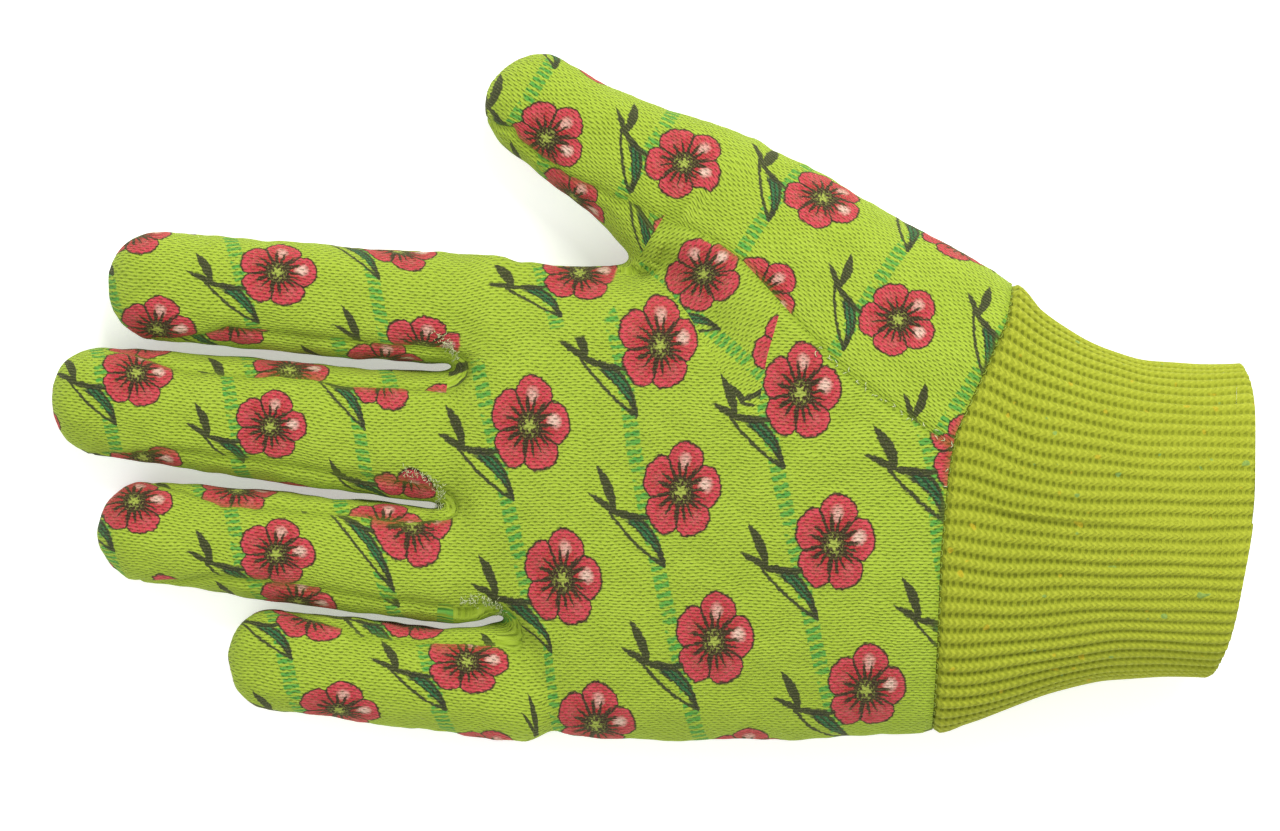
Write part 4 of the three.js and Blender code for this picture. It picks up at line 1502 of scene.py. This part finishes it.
def rib_material():
    g = Graph("rib_knit")
    _, (off, s, inside) = g.attribute("rib_place")
    _, (seam, _, _) = g.attribute("rib_seam")
    spot, _ = g.attribute("rib_spot")
    valley = g.step(off - 0.31, 0.14)
    fine = g.noise(spot, 3.4, 3.0, 0.65)
    slow = g.noise(spot, 0.10, 2.0)
    uneven = (g.noise(spot, 0.6, 2.0) - 0.5) * 0.8
    vee = g.wave(s + off * 2.2 + uneven, RIB_STITCH_PITCH, "SINE")
    dots = g.wave(s + uneven, RIB_STITCH_PITCH, "SINE")
    holes = valley * g.step(dots - 0.2, 0.7) * (0.15 + fine * 1.3)
    rows = (0.5 + vee * 0.5) * (1.0 - valley)
    far = g.step(s - 28.0, 22.0)
    lime = g.mix(slow * 0.6 + fine * 0.4, RIB_LOW, RIB_HIGH)
    colour = g.mix(rows * (0.50 - far * 0.22), lime, RIB_ROW)
    colour = g.mix(valley * (0.62 - far * 0.22), colour, RIB_VALLEY)
    colour = g.mix((holes * (0.80 - far * 0.42)).capped(), colour, RIB_HOLE)
    specks = (g.noise(spot, 0.42, 0.0), g.noise(g.shifted(spot, 40.0), 0.5, 0.0))
    for speck, (rarity, share, fleck) in zip(specks, RIB_FLECKS):
        colour = g.mix(g.step(speck - rarity, 0.02) * share, colour, fleck)
    # painted shade: the cuff is darkened next to the wrist seam, where it tucks in under the hand
    colour = g.mix(g.below(seam, 0.5, 0.7) * 0.5, colour, RIB_SEAM_SHADE)
    inner = g.mix(fine, RIB_INSIDE_LOW, RIB_INSIDE_HIGH)
    colour = g.mix(g.step(inside - 0.5, 0.1), colour, inner)
    height = rows * -0.6 - holes * 0.8 + fine * 0.7
    return finish_surface(g, colour, height, 0.34, 0.86, 0.12, RIB_SHEEN)


def thread_material():
    g = Graph("cotton_thread")
    vector, (x, y, z) = g.attribute("thread_place")
    twist = g.math("SINE", (x + y * 1.3 + z) * 9.0) * 0.5 + 0.5
    fibres = g.noise(vector, 2.4, 2.0)
    _, (white, _, _) = g.attribute("thread_tint")
    colour = g.mix(white, THREAD_LOW, THREAD_WHITE)
    colour = g.mix(twist * 0.25 + fibres * 0.25, colour, THREAD_TWIST)
    return finish_surface(g, colour, twist * 0.6 + fibres * 0.4, 0.08, 0.7, 0.15, THREAD_SHEEN)


jersey, rib, cotton = jersey_material(), rib_material(), thread_material()

# ------------------------------------------------------------------ assembly

FOLD_HEIGHT = 12


def dress(obj, material, node):
    obj.data.materials.append(material)
    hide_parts(node)


for name, obj in pieces.items():
    dress(obj, jersey, name)
    limb_name, stretch = body_of_panel(name)
    if stretch is None:
        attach(obj, "hand")
        continue
    near, far = limb_name + "_near", limb_name + "_far"
    pair, fold = (("hand", near), "base") if stretch == "near" else ((near, far), "middle")
    start, end = [limbs[limb_name].at(s, FOLD_HEIGHT) for s in FOLDS[limb_name][fold]]
    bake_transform(obj)

dress(cuff, rib, "rib_cuff")
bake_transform(cuff)
dress(hem, rib, "cuff_hem")
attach(hem, "cuff")
for obj, node in (
    (thumb_thread, "thumb_seam_thread"),
    (wrist_thread, "wrist_seam_thread"),
    *((crotch_threads[name], name + "_crotch_thread") for name in CROTCHES),
):
    dress(obj, cotton, node)
    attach(obj, "hand")

# ------------------------------------------------------------------ floor, light and camera


def floor_material():
    g = Graph("pale_floor")
    shader = g.node("ShaderNodeBsdfPrincipled")
    shader.inputs["Base Color"].default_value = linear(244, 244, 243)
    shader.inputs["Roughness"].default_value = 0.9
    shader.inputs["Emission Color"].default_value = (1, 1, 1, 1)
    shader.inputs["Emission Strength"].default_value = 0.42
    out = g.node("ShaderNodeOutputMaterial")
    g.tree.links.new(shader.outputs[0], out.inputs[0])
    return g.material


floor_mesh = bpy.data.meshes.new("floor")
floor_mesh.from_pydata([(-4, -4, 0), (4, -4, 0), (4, 4, 0), (-4, 4, 0)], [], [(0, 1, 2, 3)])
floor = bpy.data.objects.new("floor", floor_mesh)
floor.data.materials.append(floor_material())
bpy.context.scene.collection.objects.link(floor)


def area_light(name, place, aim, size, watts, colour):
    data = bpy.data.lights.new(name, "AREA")
    data.shape = "DISK"
    data.size = size
    data.energy = watts
    data.color = colour
    lamp = bpy.data.objects.new(name, data)
    lamp.location = place
    lamp.rotation_euler = (Vector(aim) - Vector(place)).to_track_quat("-Z", "Y").to_euler()
    bpy.context.scene.collection.objects.link(lamp)


area_light("key", (0.35, 0.75, 0.95), (0, 0, 0.02), 0.7, 16, (1.0, 0.99, 0.97))
area_light("fill", (-0.6, -0.5, 1.1), (0, 0, 0.02), 1.0, 5, (0.97, 0.99, 1.0))
world = bpy.data.worlds.new("studio")
world.use_nodes = True
world.node_tree.nodes["Background"].inputs["Color"].default_value = (1, 1, 1, 1)
world.node_tree.nodes["Background"].inputs["Strength"].default_value = 0.65
bpy.context.scene.world = world
bpy.context.scene.view_settings.view_transform = "Standard"

VIEW_WIDTH = 256.0  # what the picture's width takes in at VIEW_LEVEL above the floor
VIEW_DISTANCE = 1200.0
VIEW_LEVEL = 14.0
SENSOR = 36
camera_data = bpy.data.cameras.new("camera")
camera_data.sensor_width = SENSOR
camera_data.lens = SENSOR * (VIEW_DISTANCE - VIEW_LEVEL) / VIEW_WIDTH
camera_data.clip_start = 0.01
camera_data.clip_end = 20
camera = bpy.data.objects.new("camera", camera_data)
camera.location = (-2.5 * MM, -3.6 * MM, VIEW_DISTANCE * MM)
bpy.context.scene.collection.objects.link(camera)
bpy.context.scene.camera = camera
